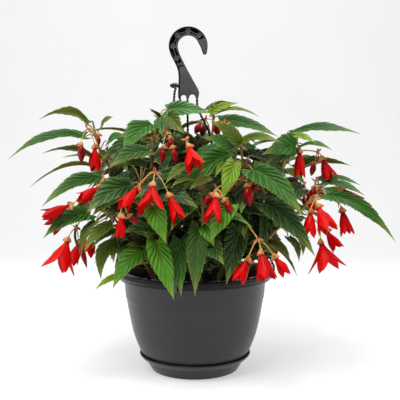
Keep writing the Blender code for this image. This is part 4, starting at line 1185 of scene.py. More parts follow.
def add_stem(skin, stem, roots):
    """The stem, swollen and scarred where its stalks leave."""
    x, y = stem.path[0]
    foot = [mm((x, y, SOIL_EDGE - 4)), mm((x, y, SOIL_CROWN + 3))]
    line = foot[:1] + bend([foot[1]] + [mm(p) for p in stem.path[1:]], 12)
    line.append(line[-1] + (line[-1] - line[-2]).normalized() * 3 * MM)
    last = len(line) - 1
    swell = []
    for place in line:
        near = min(((place - root).length / MM for root in roots), default=math.inf)
        swell.append(math.exp(-(near / KNOT_LONG) ** 2))
    radii = [stem.radius * (1 - 0.5 * k / last) * (0.94 + KNOT_SWELL * swell[k]) for k in range(last)]
    skin.add_rod(line, radii + [radii[-1] * 0.4], 12, "stem", 0.5, swell)
    for k, root in enumerate(roots):
        turn = Quaternion((0, 0, 1), SPIRAL_TURN * k)
        away = turn @ Vector((1, 0, 0.5)).normalized()
        start = root + away * stem.radius * 0.7 * MM
        add_leaflet(skin, start, start + away * STIPULE_LONG * MM, 3.4, 0.3)


def add_leaflet(skin, base, tip, width, tone):
    """A small pointed scale such as a bract."""
    along = (tip - base).normalized()
    up = upward(along, (base + tip) / 2)
    across = along.cross(up)
    long = (tip - base).length
    rows, marks = [], []
    for k in range(7):
        t = k / 7
        half = width / 2 * math.sin(math.pi * (0.12 + 0.88 * t) ** 0.8) * MM
        middle = base.lerp(tip, t) + up * long * 0.18 * t * t
        rows.append([middle + across * half * s + up * half * 0.5 * abs(s) for s in (-1, -0.5, 0, 0.5, 1)])
        marks += [(t, s, 0, tone) for s in (-1, -0.5, 0, 0.5, 1)]
    rows.append([tip + up * long * 0.18])
    marks.append((1, 0, 0, tone))
    skin.add_sheet(rows, up, BRACT_THICK, ("bract", "bract"), marks)


# Flowers.

def add_ovary(skin, behind, base, draw):
    """The swollen ovary behind the petals, with three wings of which one is larger."""
    axis = (base - behind).normalized()
    side = axis.orthogonal().normalized()
    spin = draw.uniform(0, math.tau)
    points, marks = [], []
    steps = 9
    for k in range(steps):
        t = k / (steps - 1)
        body = 0.9 + 1.7 * math.sin(math.pi * (0.1 + 0.75 * t))
        wing = WING_REACH * max(0, math.sin(math.pi * t ** 1.5)) ** 0.8
        for j in range(OVARY_SIDES):
            angle = math.tau * j / OVARY_SIDES
            ridge = abs(math.cos(1.5 * angle)) ** 14
            larger = 1.5 if j < OVARY_SIDES / 6 or j > OVARY_SIDES * 5 / 6 else 0.9
            out = Quaternion(axis, angle + spin) @ side
            lean = axis * ridge * wing * 0.35 * MM
            points.append(behind.lerp(base, t) + out * (body + wing * ridge * larger) * MM + lean)
            marks.append((t, ridge * min(1, wing / 2), 0, 0.5))
    rows = even_rows(steps, OVARY_SIDES)
    faces = lace(rows, True) + [rows[0], rows[-1]]
    skin.add(points, faces, "ovary", marks)


def add_petal(skin, place, widths, opening, twist, tone):
    """One long pointed petal, cupped round the flower's axis."""
    base, axis, radial, across, long = place
    wide, foot = widths
    reach_in, open_out, curl = opening
    columns = (-1, -0.72, -0.36, 0, 0.36, 0.72, 1)
    rows, marks = [], []
    for k in range(PETAL_ROWS):
        t = k / PETAL_ROWS
        half = max(wide * math.sin(math.pi * t ** 1.12) ** 0.8, foot * (1 - t) ** 3) * MM
        reach = reach_in * MM + 0.42 * half + open_out * t ** 1.5 + curl * long * max(0, t - 0.55) ** 2
        turn = Quaternion(axis, twist * t)
        out, aside = turn @ radial, turn @ across
        middle = base + axis * long * t
        row = []
        for s in columns:
            cup = half * PETAL_CUP * (abs(s) ** 1.7)
            ruffle = half * 0.15 * math.sin(9 * t + 4 * s + twist * 20) * abs(s)
            crease = 0.35 * MM * math.exp(-(s / 0.25) ** 2) * math.sin(math.pi * t)
            row.append(middle + aside * half * s + out * (reach - cup + ruffle - crease))
            marks.append((0, s, t, tone))
        rows.append(row)
    reach = reach_in * MM + open_out + curl * long * 0.2
    tip = base + axis * long + (Quaternion(axis, twist) @ radial) * reach
    marks.append((0, 0, 1, tone))
    skin.add_sheet(rows + [[tip]], radial, PETAL_THICK, ("petal", "petal"), marks)


def add_bloom(skin, spray, flower, draw):
    """Ovary and petals; wide flowers show their anthers."""
    base, tip, axis, behind = flower_line(flower)
    long = (tip - base).length
    add_ovary(skin, behind, base + axis * 1.2 * MM, draw)
    count = flower.petals
    line = [mm(spray.bract), behind, behind.lerp(base, 0.55), base]
    ring = tube(line, [1] * len(line), count)[0][-count:]
    wide_open = flower.spread > OPEN_SPREAD
    open_out = long * math.tan(math.radians(flower.spread)) * (0.82 if wide_open else 1)
    wide = min(8.2, 0.24 * long / MM) if wide_open else min(7.2, 0.22 * long / MM)
    tone = draw.uniform(0.3, 0.75)
    for k in range(count):
        radial = ((ring[k] + ring[(k + 1) % count]) / 2 - base).normalized()
        across = axis.cross(radial)
        inner = k % 2 == 1 and count == 4
        width = wide * (0.82 if inner else 1) * draw.uniform(0.94, 1.06)
        length = long * (0.95 if inner else 1) * draw.uniform(0.97, 1.0)
        reach_in = NECK_RADIUS - (1.0 if inner else 0)
        opening = (reach_in, open_out * draw.uniform(0.8, 1.0), draw.uniform(0.0, 0.35))
        place = (base, axis, radial, across, length)
        add_petal(skin, place, (width, 2.1), opening, draw.uniform(-0.14, 0.14),
                  tone + draw.uniform(-0.08, 0.08))
    if flower.spread > OPEN_SPREAD / 2:
        add_anthers(skin, base, axis, draw)


def add_anthers(skin, base, axis, draw):
    """A tuft of club-shaped anthers on short threads."""
    side = axis.orthogonal().normalized()
    for k in range(ANTHERS):
        out = Quaternion(axis, SPIRAL_TURN * k) @ side
        lean = (axis + out * (0.12 + 0.35 * k / ANTHERS)).normalized()
        start = base + axis * MM
        end = start + lean * draw.uniform(7, 10) * MM
        skin.add_rod([start, end], [0.3, 0.3], 4, "anther", 0.2)
        club = [end + lean * step * MM for step in (-0.4, 0.4, 1.5, 2.6, 3.2)]
        skin.add_rod(club, [0.2, 0.75, 1.0, 0.8, 0.15], 6, "anther", 0.8)


def add_bud(skin, flower, draw):
    """A closed spindle of folded petals behind a small ovary."""
    base, tip, axis, behind = flower_line(flower)
    add_ovary(skin, behind.lerp(base, 0.25), base, draw)
    side, full = axis.orthogonal().normalized(), flower.spread * 0.92 + 0.5
    tone, spin = draw.uniform(0.0, 0.2), draw.uniform(0, math.tau)
    points, marks = [], []
    for k in range(BUD_ROWS):
        t = k / (BUD_ROWS - 1)
        radius = max(full * math.sin(math.pi * (0.08 + 0.92 * t ** 0.85)) ** 0.85, 0.3)
        for j in range(BUD_SIDES):
            angle = math.tau * j / BUD_SIDES
            seam_and_ledge_shade = 1 - 0.13 * math.exp(-(math.sin(angle + 1.6 * t) / 0.3) ** 2) * math.sin(math.pi * t)
            out = Quaternion(axis, angle + spin) @ side
            points.append(base.lerp(tip, t) + out * radius * seam_and_ledge_shade * MM)
            marks.append((0, seam_and_ledge_shade, t, tone))
    rows = even_rows(BUD_ROWS, BUD_SIDES)
    skin.add(points, lace(rows, True) + [rows[0], rows[-1]], "bud", marks)


def add_spray(skin, spray, path, draw):
    """The bract, its leaflets and every stalk, bud and bloom on it."""
    bract = mm(spray.bract)
    heading = hub_direction(spray, path)
    line = [bract + heading * step * MM for step in (-3, -1.6, 0, 1.4, 3)]
    skin.add_rod(line, [1.1, 1.6, 2.1, 1.6, 0.8], 10, "flower stalk", 0.8)
    for k in range(3):
        out = Quaternion(heading, 2.1 * k + draw.uniform(-0.3, 0.3)) @ heading.orthogonal().normalized()
        away = (out + heading * 0.25).normalized()
        add_leaflet(skin, bract + away * 1.2 * MM, bract + away * BRACT_LONG * MM, 4.6, 0.7)
    for flower in spray.flowers:
        behind = flower_line(flower)[3]
        rise = Vector((0, 0, 0.1 * (behind - bract).length))
        line = bend([bract, bract.lerp(behind, 0.5) + rise, behind], 5)
        skin.add_rod(line, [FLOWER_STALK_RADIUS] * len(line), 6, "flower stalk", 0.75)
        if flower.kind == "bud":
            add_bud(skin, flower, draw)
        else:
            add_bloom(skin, spray, flower, draw)


# Moulded pieces and soil.

def rounded(profile, radius, steps=4):
    """An outline with each corner replaced by a small round of a few points."""
    made = [profile[0]]
    for before, corner, after in zip(profile, profile[1:], profile[2:]):
        back = min(radius, 0.45 * math.dist(before, corner)) / math.dist(before, corner)
        ahead = min(radius, 0.45 * math.dist(after, corner)) / math.dist(after, corner)
        start = [c + (b - c) * back for b, c in zip(before, corner)]
        end = [c + (a - c) * ahead for a, c in zip(after, corner)]
        for k in range(steps + 1):
            t = k / steps
            made.append(tuple((1 - t) ** 2 * s + 2 * t * (1 - t) * c + t * t * e
                              for s, c, e in zip(start, corner, end)))
    return made + [profile[-1]]


def curved(points, count=6):
    """A smooth outline of (radius, height) through a few places."""
    return [tuple(p) for p in bend([Vector(p) for p in points], count)]


def add_plain(skin, shape, tone=0.0):
    """Add a moulded shape, whose finish reads nothing but a tone."""
    points, faces = shape
    skin.add(points, faces, "moulded", [(0, 0, 0, tone)] * len(points))


def make_pot(finish, shaded_rim_finish):
    """The pot: foot ring, curved body with one fine ledge, and a skirted rim in two steps."""
    inner = RIM_RADIUS - 13.4
    body = curved([(75.3, 18.5), (84.5, 25.5), (97.1, 55.7), (104.8, 89), (109, LEDGE - 1)])
    lining = curved([(107.6, LEDGE), (102.8, 89), (95.2, 56.3), (82.6, 28), (73.3, 19.5)])
    foot = [(0, 5.5), (56, 5.5), (58, SAUCER_FLOOR + GAP), (64, SAUCER_FLOOR + GAP), (72.6, 12.5)]
    rim = [(109.8, LEDGE), (inner + POT_WALL + 0.2, RIM_TOP - 2.7), (RIM_RADIUS - 6.4, RIM_TOP - 2.7),
           (RIM_RADIUS - 6.4, SKIRT_BOTTOM), (RIM_RADIUS - 4.4, SKIRT_BOTTOM),
           (RIM_RADIUS - 2.4, SKIRT_BOTTOM + 5), (RIM_RADIUS, SKIRT_BOTTOM + 6.5),
           (RIM_RADIUS, RIM_TOP), (inner, RIM_TOP)]
    low = [(70.6, 13.5), (62.5, 7.5), (0, 7.5)]
    outline = rounded(foot + body[:1], 0.8)[:-1] + body + rounded(body[-1:] + rim + lining[:1], 0.8)[1:-1]
    skin = Skin()
    add_plain(skin, lathe(outline + lining + low, ROUND_SIDES))
    # The rim's faces take the rim finish, whose near-black colour is painted shade.
    for number, face in enumerate(skin.faces):
        if min(skin.points[k].z for k in face) > (SKIRT_BOTTOM - 1) * MM:
            skin.slots[number] = "rim"
    dress(make_mesh("pot_fine", skin, {"moulded": finish, "rim": shaded_rim_finish}), "pot")


def make_saucer(finish):
    """The saucer: a narrow foot and an out-turned lip."""
    profile = [(0, 0), (69, 0), (78, 15.5), (84, 19), (88.2, 23.5), (88.2, 25.5), (86.4, 25.5),
               (82.8, 21), (76.2, 16.5), (68, SAUCER_FLOOR), (0, SAUCER_FLOOR)]
    skin = Skin()
    add_plain(skin, lathe(rounded(profile, 0.9), ROUND_SIDES))
    dress(make_mesh("saucer_fine", skin, {"moulded": finish}), "saucer")


def soil_height(radius, angle):
    """The lumpy top of the soil."""
    place = Vector((radius * math.cos(angle), radius * math.sin(angle), 3.7))
    rise = 1 - (radius / SOIL_RADIUS) ** 2
    lumps = noise.fractal(place * 0.07, 0.8, 2.0, 5) * 2.4
    return SOIL_EDGE + (SOIL_CROWN - SOIL_EDGE) * rise + lumps * min(1, (SOIL_RADIUS - radius) / 8) - 0.6


def soil_ring(radius, height=None):
    """A ring of places at one height, or on the lumpy top."""
    ring = []
    for k in range(SOIL_SIDES):
        level = soil_height(radius, math.tau * k / SOIL_SIDES) if height is None else height
        ring.append(polar(360 * k / SOIL_SIDES, radius, level))
    return ring


def make_soil(draw, finish):
    """Soil that fills the pot, with a lumpy top and loose crumbs and bark on it."""
    skin = Skin()
    rings = [soil_ring(SOIL_RADIUS * (1 - step / SOIL_RINGS) ** 0.9) for step in range(SOIL_RINGS)]
    below = [(107.1, LEDGE), (94.8, 56.6), (82.1, 28.4), (72.9, 19.9), (70.2, 13.8), (62.2, 7.8)]
    walls = [soil_ring(radius, height) for radius, height in below[::-1]]
    rows = [[(0, 0, below[-1][1])]] + walls + rings + [[(0, 0, SOIL_CROWN)]]
    points = [mm(p) for row in rows for p in row]
    skin.add(points, lace(numbered(rows), True), "soil", [(0, 0, 0, 0)] * len(points))
    for _ in range(CRUMBS):
        radius = (SOIL_RADIUS - 2) * draw.random() ** 0.5
        angle = draw.uniform(0, math.tau)
        size = draw.uniform(0.8, 2.6)
        middle = mm(polar(math.degrees(angle), radius, soil_height(radius, angle) + 0.2 * size))
        stretch = Vector((draw.uniform(0.7, 1.9), draw.uniform(0.7, 1.1), draw.uniform(0.6, 1.0))) * size * MM
        spin = Quaternion((0, 0, 1), draw.uniform(0, math.tau))
        add_crumb(skin, middle, stretch, spin, draw)
    dress(make_mesh("soil_fine", skin, {"soil": finish}), "soil")


def add_crumb(skin, middle, stretch, spin, draw):
    """One rough crumb of peat."""
    rows = [(0.0, -1.0)] + [(math.cos(a), math.sin(a)) for a in (-0.8, 0.0, 0.8)] + [(0.0, 1.0)]
    shape, numbers = [], []
    for wide, high in rows:
        count = 6 if wide > 0 else 1
        numbers.append(list(range(len(shape), len(shape) + count)))
        for k in range(count):
            angle = math.tau * k / 6
            rough = draw.uniform(0.78, 1.12)
            arm = Vector((math.cos(angle) * wide * stretch.x, math.sin(angle) * wide * stretch.y,
                          high * stretch.z)) * rough
            shape.append(middle + spin @ arm)
    skin.add(shape, lace(numbers, True), "soil", [(0, 0, 0, draw.random())] * len(shape))


# The hanger.

def hook_outline(flank=0.0, edge=0.0):
    """The hook's bend, its tapered shank and the scalloped foot of the plate.

    flank and edge are how far the line stands back on the outer and on the inner side.
    """
    tip = [(18.8 - edge, 500), (17.6 - edge, 498.1 + edge), (15.3, 497.4 + edge), (13.4 + edge, 498 + edge),
           (12.3 + 1.6 * edge, 500 + edge), (8.8 + 1.3 * edge, 509.8)]
    left = [(-38.5, 497), (-31.9, 484.3), (-27.4, 473), (-26, 458.8), (-26.8, 436), (-26.4, 428)]
    left = [(x + flank * 0.9, z) for x, z in left]
    foot = [(-22.6, 428), *arc((-18, 429.5 + edge), 4.2 + edge / 2, 180, 0, 12), (-13.8, 428), (-9.8, 428),
            *arc((-4.2, 429.5 + edge), 5 + edge / 2, 180, 0, 12), (1.2, 428), (5 - edge, 428)]
    right = [(6.8, 436), (4.8, 443), (-4, 458.8), (-15.9, 481), (-23.9, 497.5)]
    right = [(x - edge, z) for x, z in right]
    outer = []
    for k in range(49):
        angle = -10 + 200 * k / 48
        back = edge + (flank - edge) * min(1, max(0, (angle - 20) / 60))
        outer += arc(HOOK, HOOK_OUTER - back, angle, angle, 1)[:1]
    inner = arc(HOOK, HOOK_INNER + edge, 195, 22, 36)
    return outer + curved(left, 5) + foot + curved(right, 5) + inner + curved(tip, 3)[::-1]


def on_hook(angle, radius=(HOOK_OUTER + HOOK_INNER) / 2):
    """A place on the hook's bend."""
    return arc(HOOK, radius, angle, angle, 1)[0]


def pocket_outline():
    """The sunk face between the hook's raised edges."""
    outer = arc(HOOK, HOOK_OUTER - FLANK_WIDE + 0.6, 26, 192, 40)
    inner = arc(HOOK, HOOK_INNER + 2.9, 195, 28, 36)
    return outer + [(-30.6, 487), (-27.8, 482.2), (-21.2, 484.6)] + inner


def rib(start, end):
    """A low bar on the hook's face from one place to another."""
    (x0, z0), (x1, z1) = start, end
    long = math.hypot(x1 - x0, z1 - z0)
    side = ((z1 - z0) / long * RIB_WIDE / 2, -(x1 - x0) / long * RIB_WIDE / 2)
    outline = [(x0 + side[0], z0 + side[1]), (x1 + side[0], z1 + side[1]),
               (x1 - side[0], z1 - side[1]), (x0 - side[0], z0 - side[1])]
    deep = HOOK_THICK / 2 - 0.1
    return plate(outline[::-1], -deep, deep)


def make_hanger(finish):
    """Hook, plate, side peg and the three beaded strands of one moulding."""
    half = HOOK_THICK / 2
    slot = [(-18.4, 480.4), (-24.1, 480.6), (-27.2, 475.4), (-26.0, 473.4), (-23.0, 478.2),
            (-18.2, 478.2)]
    cuts = [plate(outline, low, high) for outline in (pocket_outline(), slot)
            for low, high in ((-half - 1, -half + POCKET_DEEP), (half - POCKET_DEEP, half + 1))]
    core = plate(hook_outline(), -half + FLANK_STEP, half - FLANK_STEP)
    face = plate(hook_outline(FLANK_WIDE, EDGE_STEP), -half, half)
    plates = [plate_piece("hanger_fine", core, cuts, 0.8, finish),
              plate_piece("hanger_face", face, cuts, 0.3, finish)]
    skin = Skin()
    add_hook_details(skin)
    for points, direction in STRANDS.values():
        add_strand(skin, points, direction)
    details = make_mesh("hanger_details", skin, {"moulded": finish})
    for piece in plates + [details]:
        dress(piece, "hanger")


def add_hook_details(skin):
    """Round bosses and low ribs in the hook's sunk faces, and the barbed side peg."""
    shank = (-29.2, 491.5)
    dish = [(0, 0.4), (BOSS_RADIUS, 0.4), (BOSS_RADIUS, 2.2), (BOSS_RADIUS - 0.3, 2.48),
            (BOSS_RADIUS - 0.9, 2.48), (BOSS_RADIUS - 1.3, 2.26), (1.0, 2.3), (0.6, 2.1), (0, 2.1)]
    for x, z in [on_hook(angle) for angle in (44, 90, 136, 182)] + [shank]:
        points, faces = lathe(dish, 20)
        for sign in (-1, 1):
            add_plain(skin, ([mm((x, 0, z)) + Vector((p.x, sign * p.z, p.y)) for p in points], faces))
    for angle in (67, 113, 159):
        add_plain(skin, rib(on_hook(angle + 15), on_hook(angle - 15, HOOK_INNER + 6)))
    add_plain(skin, rib((-34.2, 507), (-30.4, 495)))
    add_plain(skin, rib((-28.4, 488), (-25.6, 483)))
    peg = [(-24, 3.2), (-28.5, 3.2), (-28.8, PEG_RADIUS), (-32.2, PEG_RADIUS), (-32.5, 4.0), (-33.8, 4.4),
           (-36.6, 3.5), (-39.4, 1.6), (-40, 0.8)]
    line = [mm((x, 0, PEG_HEIGHT)) for x, _ in peg]
    add_plain(skin, tube(line, [radius for _, radius in peg], 20), 1.0)


def add_bevel(made, name, wide, steps, angle):
    """Soften the edges that are sharper than an angle."""
    bevel = made.modifiers.new(name, "BEVEL")
    bevel.width, bevel.segments, bevel.limit_method = wide * MM, steps, "ANGLE"
    bevel.angle_limit = math.radians(angle)


def plate_piece(name, body, cuts, soft, finish):
    """A flat moulding with sunk faces and softened edges."""
    made = plain_object(name, body, finish)
    add_bevel(made, "flanks", soft, 4, 60)
    tools = bpy.data.collections.new(name)
    for shape in cuts:
        piece = plain_object(f"{name}_cut", shape, finish)
        bpy.context.scene.collection.objects.unlink(piece)
        tools.objects.link(piece)
    change = made.modifiers.new("cut", "BOOLEAN")
    change.operation, change.solver = "DIFFERENCE", "EXACT"
    change.operand_type, change.collection = "COLLECTION", tools
    add_bevel(made, "soften", 0.2, 2, 50)
    graph = bpy.context.evaluated_depsgraph_get()
    mesh = bpy.data.meshes.new_from_object(made.evaluated_get(graph))
    made.modifiers.clear()
    made.data = mesh
    for piece in list(tools.objects):
        bpy.data.objects.remove(piece)
    bpy.data.collections.remove(tools)
    smooth(mesh)
    return made


def plain_object(name, shape, finish):
    """An object from one closed shape."""
    skin = Skin()
    add_plain(skin, shape)
    return make_mesh(name, skin, {"moulded": finish})


def add_strand(skin, points, direction):
    """A thin strand with small beads along it, and the clip at its end."""
    path = bend(clip_path(points, direction), 6)
    line = [path[0]]
    for near, far in zip(path, path[1:]):
        steps = max(1, round((far - near).length / (BEAD_LONG * MM / 6)))
        line += [near.lerp(far, k / steps) for k in range(1, steps + 1)]
    bead = (0.86, 1.0, BEAD_SWELL, BEAD_SWELL, 1.0, 0.86)
    radii = [STRAND_RADIUS * bead[k % 6] for k in range(len(line))]
    add_plain(skin, tube(line, radii, 8), 1.0)
    add_plain(skin, rounded_clip(direction))


def rounded_clip(direction):
    """The end of a strand: a flat tongue outside the rim, with a lip under the skirt."""
    inner = RIM_RADIUS + GAP + 0.1
    outer = inner + CLIP_THICK
    bottom = SKIRT_BOTTOM - GAP - CLIP_THICK
    half = CLIP_WIDE / 2
    tongue = [(inner, CLIP_TOP), (inner, SKIRT_BOTTOM - GAP), (RIM_RADIUS - 5.6, SKIRT_BOTTOM - GAP),
              (RIM_RADIUS - 5.2, bottom), (outer, bottom), (outer, CLIP_TOP)]
    tongue = rounded(tongue + tongue[:1], 0.5, 3)[:-1]
    points, faces = plate(tongue, -half, half)
    turn = Matrix.Rotation(math.radians(direction), 3, "Z")
    return [turn @ p for p in points], faces


def make_fourth_strand(finish):
    """The separate strand: an eyelet on the side peg, and a clip over the rim at the front."""
    skin = Skin()
    wide, bore = 1.25, PEG_RADIUS + GAP + 0.1
    section = [(-wide, bore), (-wide, EYELET_RADIUS - 0.3), (-wide + 0.3, EYELET_RADIUS),
               (wide - 0.3, EYELET_RADIUS), (wide, EYELET_RADIUS - 0.3), (wide, bore)]
    points, count = [], 32
    for across, radius in section:
        for k in range(count):
            angle = math.tau * k / count
            points.append(mm((EYELET_X + across, radius * math.cos(angle),
                              PEG_HEIGHT + radius * math.sin(angle))))
    rows = even_rows(len(section), count)
    add_plain(skin, (points, lace(rows + rows[:1], True)), 1.0)
    add_strand(skin, FOURTH_STRAND, FOURTH_DIRECTION)
    dress(make_mesh("fourth_strand_fine", skin, {"moulded": finish}), "fourth_strand")


# Materials.

class Nodes:
    """One material's node tree, with short calls to add to it."""

    def __init__(self, name):
        self.material = bpy.data.materials.new(name)
        self.material.use_nodes = True
        self.tree = self.material.node_tree
        self.surface = self.tree.nodes["Principled BSDF"]

    def put(self, socket, value):
        """Link a socket to another one, or set its value."""
        if isinstance(value, bpy.types.NodeSocket):
            self.tree.links.new(value, socket)
        else:
            socket.default_value = value

    def add(self, kind, values, **settings):
        """A node with its settings and the values of its inputs, by name or number."""
        node = self.tree.nodes.new(f"ShaderNode{kind}")
        for name, value in settings.items():
            setattr(node, name, value)
        for name, value in values.items():
            self.put(node.inputs[name], value)
        return node

    def calc(self, operation, first, second=0.0):
        """A number worked out from one or two others."""
        return self.add("Math", {0: first, 1: second}, operation=operation).outputs[0]

    def band(self, value, low, high):
        """0 at low and 1 at high, with a soft step between them."""
        node = self.add("MapRange", {"Value": value, "From Min": low, "From Max": high},
                        interpolation_type="SMOOTHSTEP")
        return node.outputs[0]

    def mix(self, share, first, second, blend="MIX"):
        """Two colours mixed."""
        node = self.add("Mix", {0: share, 6: first, 7: second}, data_type="RGBA", blend_type=blend)
        return node.outputs[2]

    def tint(self, colour, share, most, other):
        """A colour drawn towards another sRGB colour, by a share of at most the given amount."""
        return self.mix(self.calc("MULTIPLY", share, most), colour, srgb(other))

    def place(self):
        """A point's place in the object's own space."""
        return self.add("TexCoord", {}).outputs["Object"]

    def ramp(self, value, stops):
        """A colour from a number; stops pair a place with an sRGB colour."""
        node = self.add("ValToRGB", {0: value})
        ramp = node.color_ramp
        while len(ramp.elements) < len(stops):
            ramp.elements.new(1.0)
        for element, (place, colour) in zip(ramp.elements, stops):
            element.position = place
            element.color = srgb(colour)
        return node.outputs[0]

    def speckle(self, scale, detail=3.0, vector=None):
        """Noise over the object's own space, from 0 to 1."""
        node = self.add("TexNoise", {"Vector": vector or self.place(), "Scale": scale, "Detail": detail})
        return node.outputs[0]

    def marks(self):
        """The four numbers that each point carries."""
        mark = self.add("Attribute", {}, attribute_name="mark").outputs["Vector"]
        tone = self.add("Attribute", {}, attribute_name="tone").outputs["Fac"]
        return (*self.add("SeparateXYZ", {0: mark}).outputs, tone)

    def relief(self, height, strength, distance):
        """A fine relief from a height; the distance is in millimetres."""
        node = self.add("Bump", {"Height": height, "Strength": strength, "Distance": distance * MM})
        self.put(self.surface.inputs["Normal"], node.outputs[0])

    def finish(self, colour, roughness, **sockets):
        """Set the surface's colour, roughness and other sockets, and return the material."""
        self.put(self.surface.inputs["Base Color"], colour)
        self.put(self.surface.inputs["Roughness"], roughness)
        for name, value in sockets.items():
            self.put(self.surface.inputs[name.replace("_", " ")], value)
        return self.material


def srgb(colour):
    """A colour of 0 to 255 as a linear one."""
    shares = [c / 255 for c in colour]
    return (*[s / 12.92 if s < 0.04045 else ((s + 0.055) / 1.055) ** 2.4 for s in shares], 1.0)


def leaf_top():
    """Quilted green between sunken paler veins, darkened beside them as painted shade in the furrows, with
    pale teeth and tips.
    """
    n = Nodes("leaf_top")
    phase, side, along, tone = n.marks()
    across = n.calc("ABSOLUTE", side)
    from_vein = n.calc("PINGPONG", phase, 0.5)
    lines = n.calc("MAXIMUM", n.band(from_vein, 0.08, 0.02), n.band(across, 0.06, 0.02))
    net = n.add("TexVoronoi", {"Vector": n.place(), "Scale": 300.0}, feature="DISTANCE_TO_EDGE")
    net_line = n.band(net.outputs["Distance"], 0.09, 0.02)
    green = n.ramp(tone, LEAF_COLOURS)
    patch = n.speckle(45.0, 4.0)
    green = n.mix(n.band(patch, 0.3, 0.75), n.mix(0.35, green, srgb((14, 44, 10))), green)
    green = n.tint(green, net_line, 0.10, (150, 180, 90))
    # Painted shade: the green darkens beside each vein, in the sunken furrows.
    green = n.tint(green, n.band(from_vein, 0.3, 0.1), 0.35, (8, 40, 8))
    green = n.tint(green, lines, 0.5, (146, 182, 84))
    edge = n.calc("MULTIPLY", n.band(across, 0.93, 1.0), 0.35)
    end = n.calc("MULTIPLY", n.band(along, 0.74, 1.0), 0.42)
    green = n.mix(n.calc("MAXIMUM", edge, end), green, srgb((168, 174, 70)))
    sunk = n.calc("MULTIPLY", n.calc("ADD", net_line, lines), 0.8)
    n.relief(n.calc("SUBTRACT", n.speckle(900.0, 2.0), sunk), 0.5, 0.25)
    rough = n.calc("ADD", n.calc("MULTIPLY", patch, 0.2), 0.28)
    return n.finish(green, rough, Subsurface_Weight=0.12, Subsurface_Scale=0.002, Specular_IOR_Level=0.27)


def leaf_under():
    """The paler underside, with raised yellowish ribs."""
    n = Nodes("leaf_under")
    phase, side, _, tone = n.marks()
    vein = n.band(n.calc("PINGPONG", phase, 0.5), 0.13, 0.03)
    rib = n.band(n.calc("ABSOLUTE", side), 0.09, 0.02)
    lines = n.calc("MAXIMUM", vein, rib)
    green = n.ramp(tone, UNDER_COLOURS)
    patch = n.speckle(60.0, 4.0)
    green = n.mix(n.band(patch, 0.3, 0.75), n.mix(0.3, green, srgb((60, 70, 30))), green)
    green = n.tint(green, lines, 0.5, (172, 148, 86))
    n.relief(n.calc("ADD", n.speckle(800.0, 2.0), lines), 0.5, 0.25)
    return n.finish(green, 0.55, Subsurface_Weight=0.12, Subsurface_Scale=0.002, Specular_IOR_Level=0.2)


def stem_skin():
    """Fleshy olive stem, reddish and scarred at its joints, with pale flecks."""
    n = Nodes("stem_skin")
    swell = n.marks()[1]
    flecks = n.add("TexVoronoi", {"Vector": n.place(), "Scale": 420.0}).outputs[0]
    streaks = n.speckle(120.0, 4.0)
    olive = n.ramp(streaks, [(0.3, (104, 96, 34)), (0.55, (142, 132, 52)), (0.75, (164, 146, 70))])
    olive = n.mix(n.band(flecks, 0.16, 0.06), olive, srgb((186, 172, 112)))
    olive = n.tint(olive, n.band(swell, 0.35, 1.0), 0.75, (132, 66, 42))
    n.relief(n.calc("ADD", streaks, n.speckle(700.0)), 0.4, 0.3)
    return n.finish(olive, 0.42, Subsurface_Weight=0.2, Subsurface_Scale=0.003)


def leaf_stalk_skin():
    """Thin stalks, from reddish at the stem to yellow-green under the blade."""
    n = Nodes("leaf_stalk")
    along = n.marks()[0]
    colour = n.ramp(along, [(0.0, (148, 84, 52)), (0.25, (160, 122, 62)), (0.5, (150, 142, 66)),
                            (0.9, (120, 136, 58))])
    hairs = n.speckle(500.0, 4.0)
    colour = n.tint(colour, hairs, 0.3, (190, 160, 110))
    n.relief(hairs, 0.4, 0.2)
    return n.finish(colour, 0.45, Subsurface_Weight=0.15, Subsurface_Scale=0.002)


def flower_stalk_skin():
    """Translucent pinkish-yellow stalks of the flowers."""
    n = Nodes("flower_stalk")
    streaks = n.speckle(160.0, 4.0)
    colour = n.ramp(streaks, [(0.3, (168, 104, 50)), (0.45, (190, 152, 66)), (0.75, (176, 172, 74))])
    n.relief(n.speckle(600.0), 0.3, 0.15)
    return n.finish(colour, 0.4, Subsurface_Weight=0.2, Subsurface_Scale=0.002)


def petal_skin():
    """Glowing red, darker at the foot and along the edges as painted shade, with fine long veins."""
    n = Nodes("petal")
    _, side, along, tone = n.marks()
    red = n.ramp(tone, PETAL_COLOURS)
    spread, reach = n.calc("MULTIPLY", side, 9.0), n.calc("MULTIPLY", along, 1.6)
    veins = n.speckle(1.0, 3.0, n.add("CombineXYZ", {0: spread, 1: reach, 2: tone}).outputs[0])
    red = n.tint(red, n.band(veins, 0.42, 0.62), 0.36, (136, 0, 6))
    # Painted shade: the red darkens at the petal's foot inside the flower and along its edges.
    dark = n.calc("MAXIMUM", n.band(n.calc("ABSOLUTE", side), 0.82, 1.0), n.band(along, 0.16, 0.0))
    red = n.tint(red, dark, 0.6, (112, 0, 8))
    n.relief(n.calc("ADD", veins, n.calc("MULTIPLY", n.speckle(900.0, 2.0), 0.3)), 0.5, 0.4)
    return n.finish(red, 0.4, Subsurface_Weight=0.1, Subsurface_Scale=0.002, Specular_IOR_Level=0.1)


def bud_skin():
    """Closed petals: deep red, darker in the seams as painted shade."""
    n = Nodes("bud")
    _, seam_and_ledge_shade, _, tone = n.marks()
    red = n.ramp(tone, PETAL_COLOURS)
    # Painted shade: the red darkens in the sunk seams.
    red = n.mix(n.band(seam_and_ledge_shade, 0.985, 0.9), red, srgb((110, 0, 8)))
    red = n.tint(red, n.speckle(140.0, 4.0), 0.35, (150, 6, 8))
    n.relief(n.speckle(700.0, 3.0), 0.25, 0.2)
    return n.finish(red, 0.28, Subsurface_Weight=0.1, Subsurface_Scale=0.002, Specular_IOR_Level=0.2)


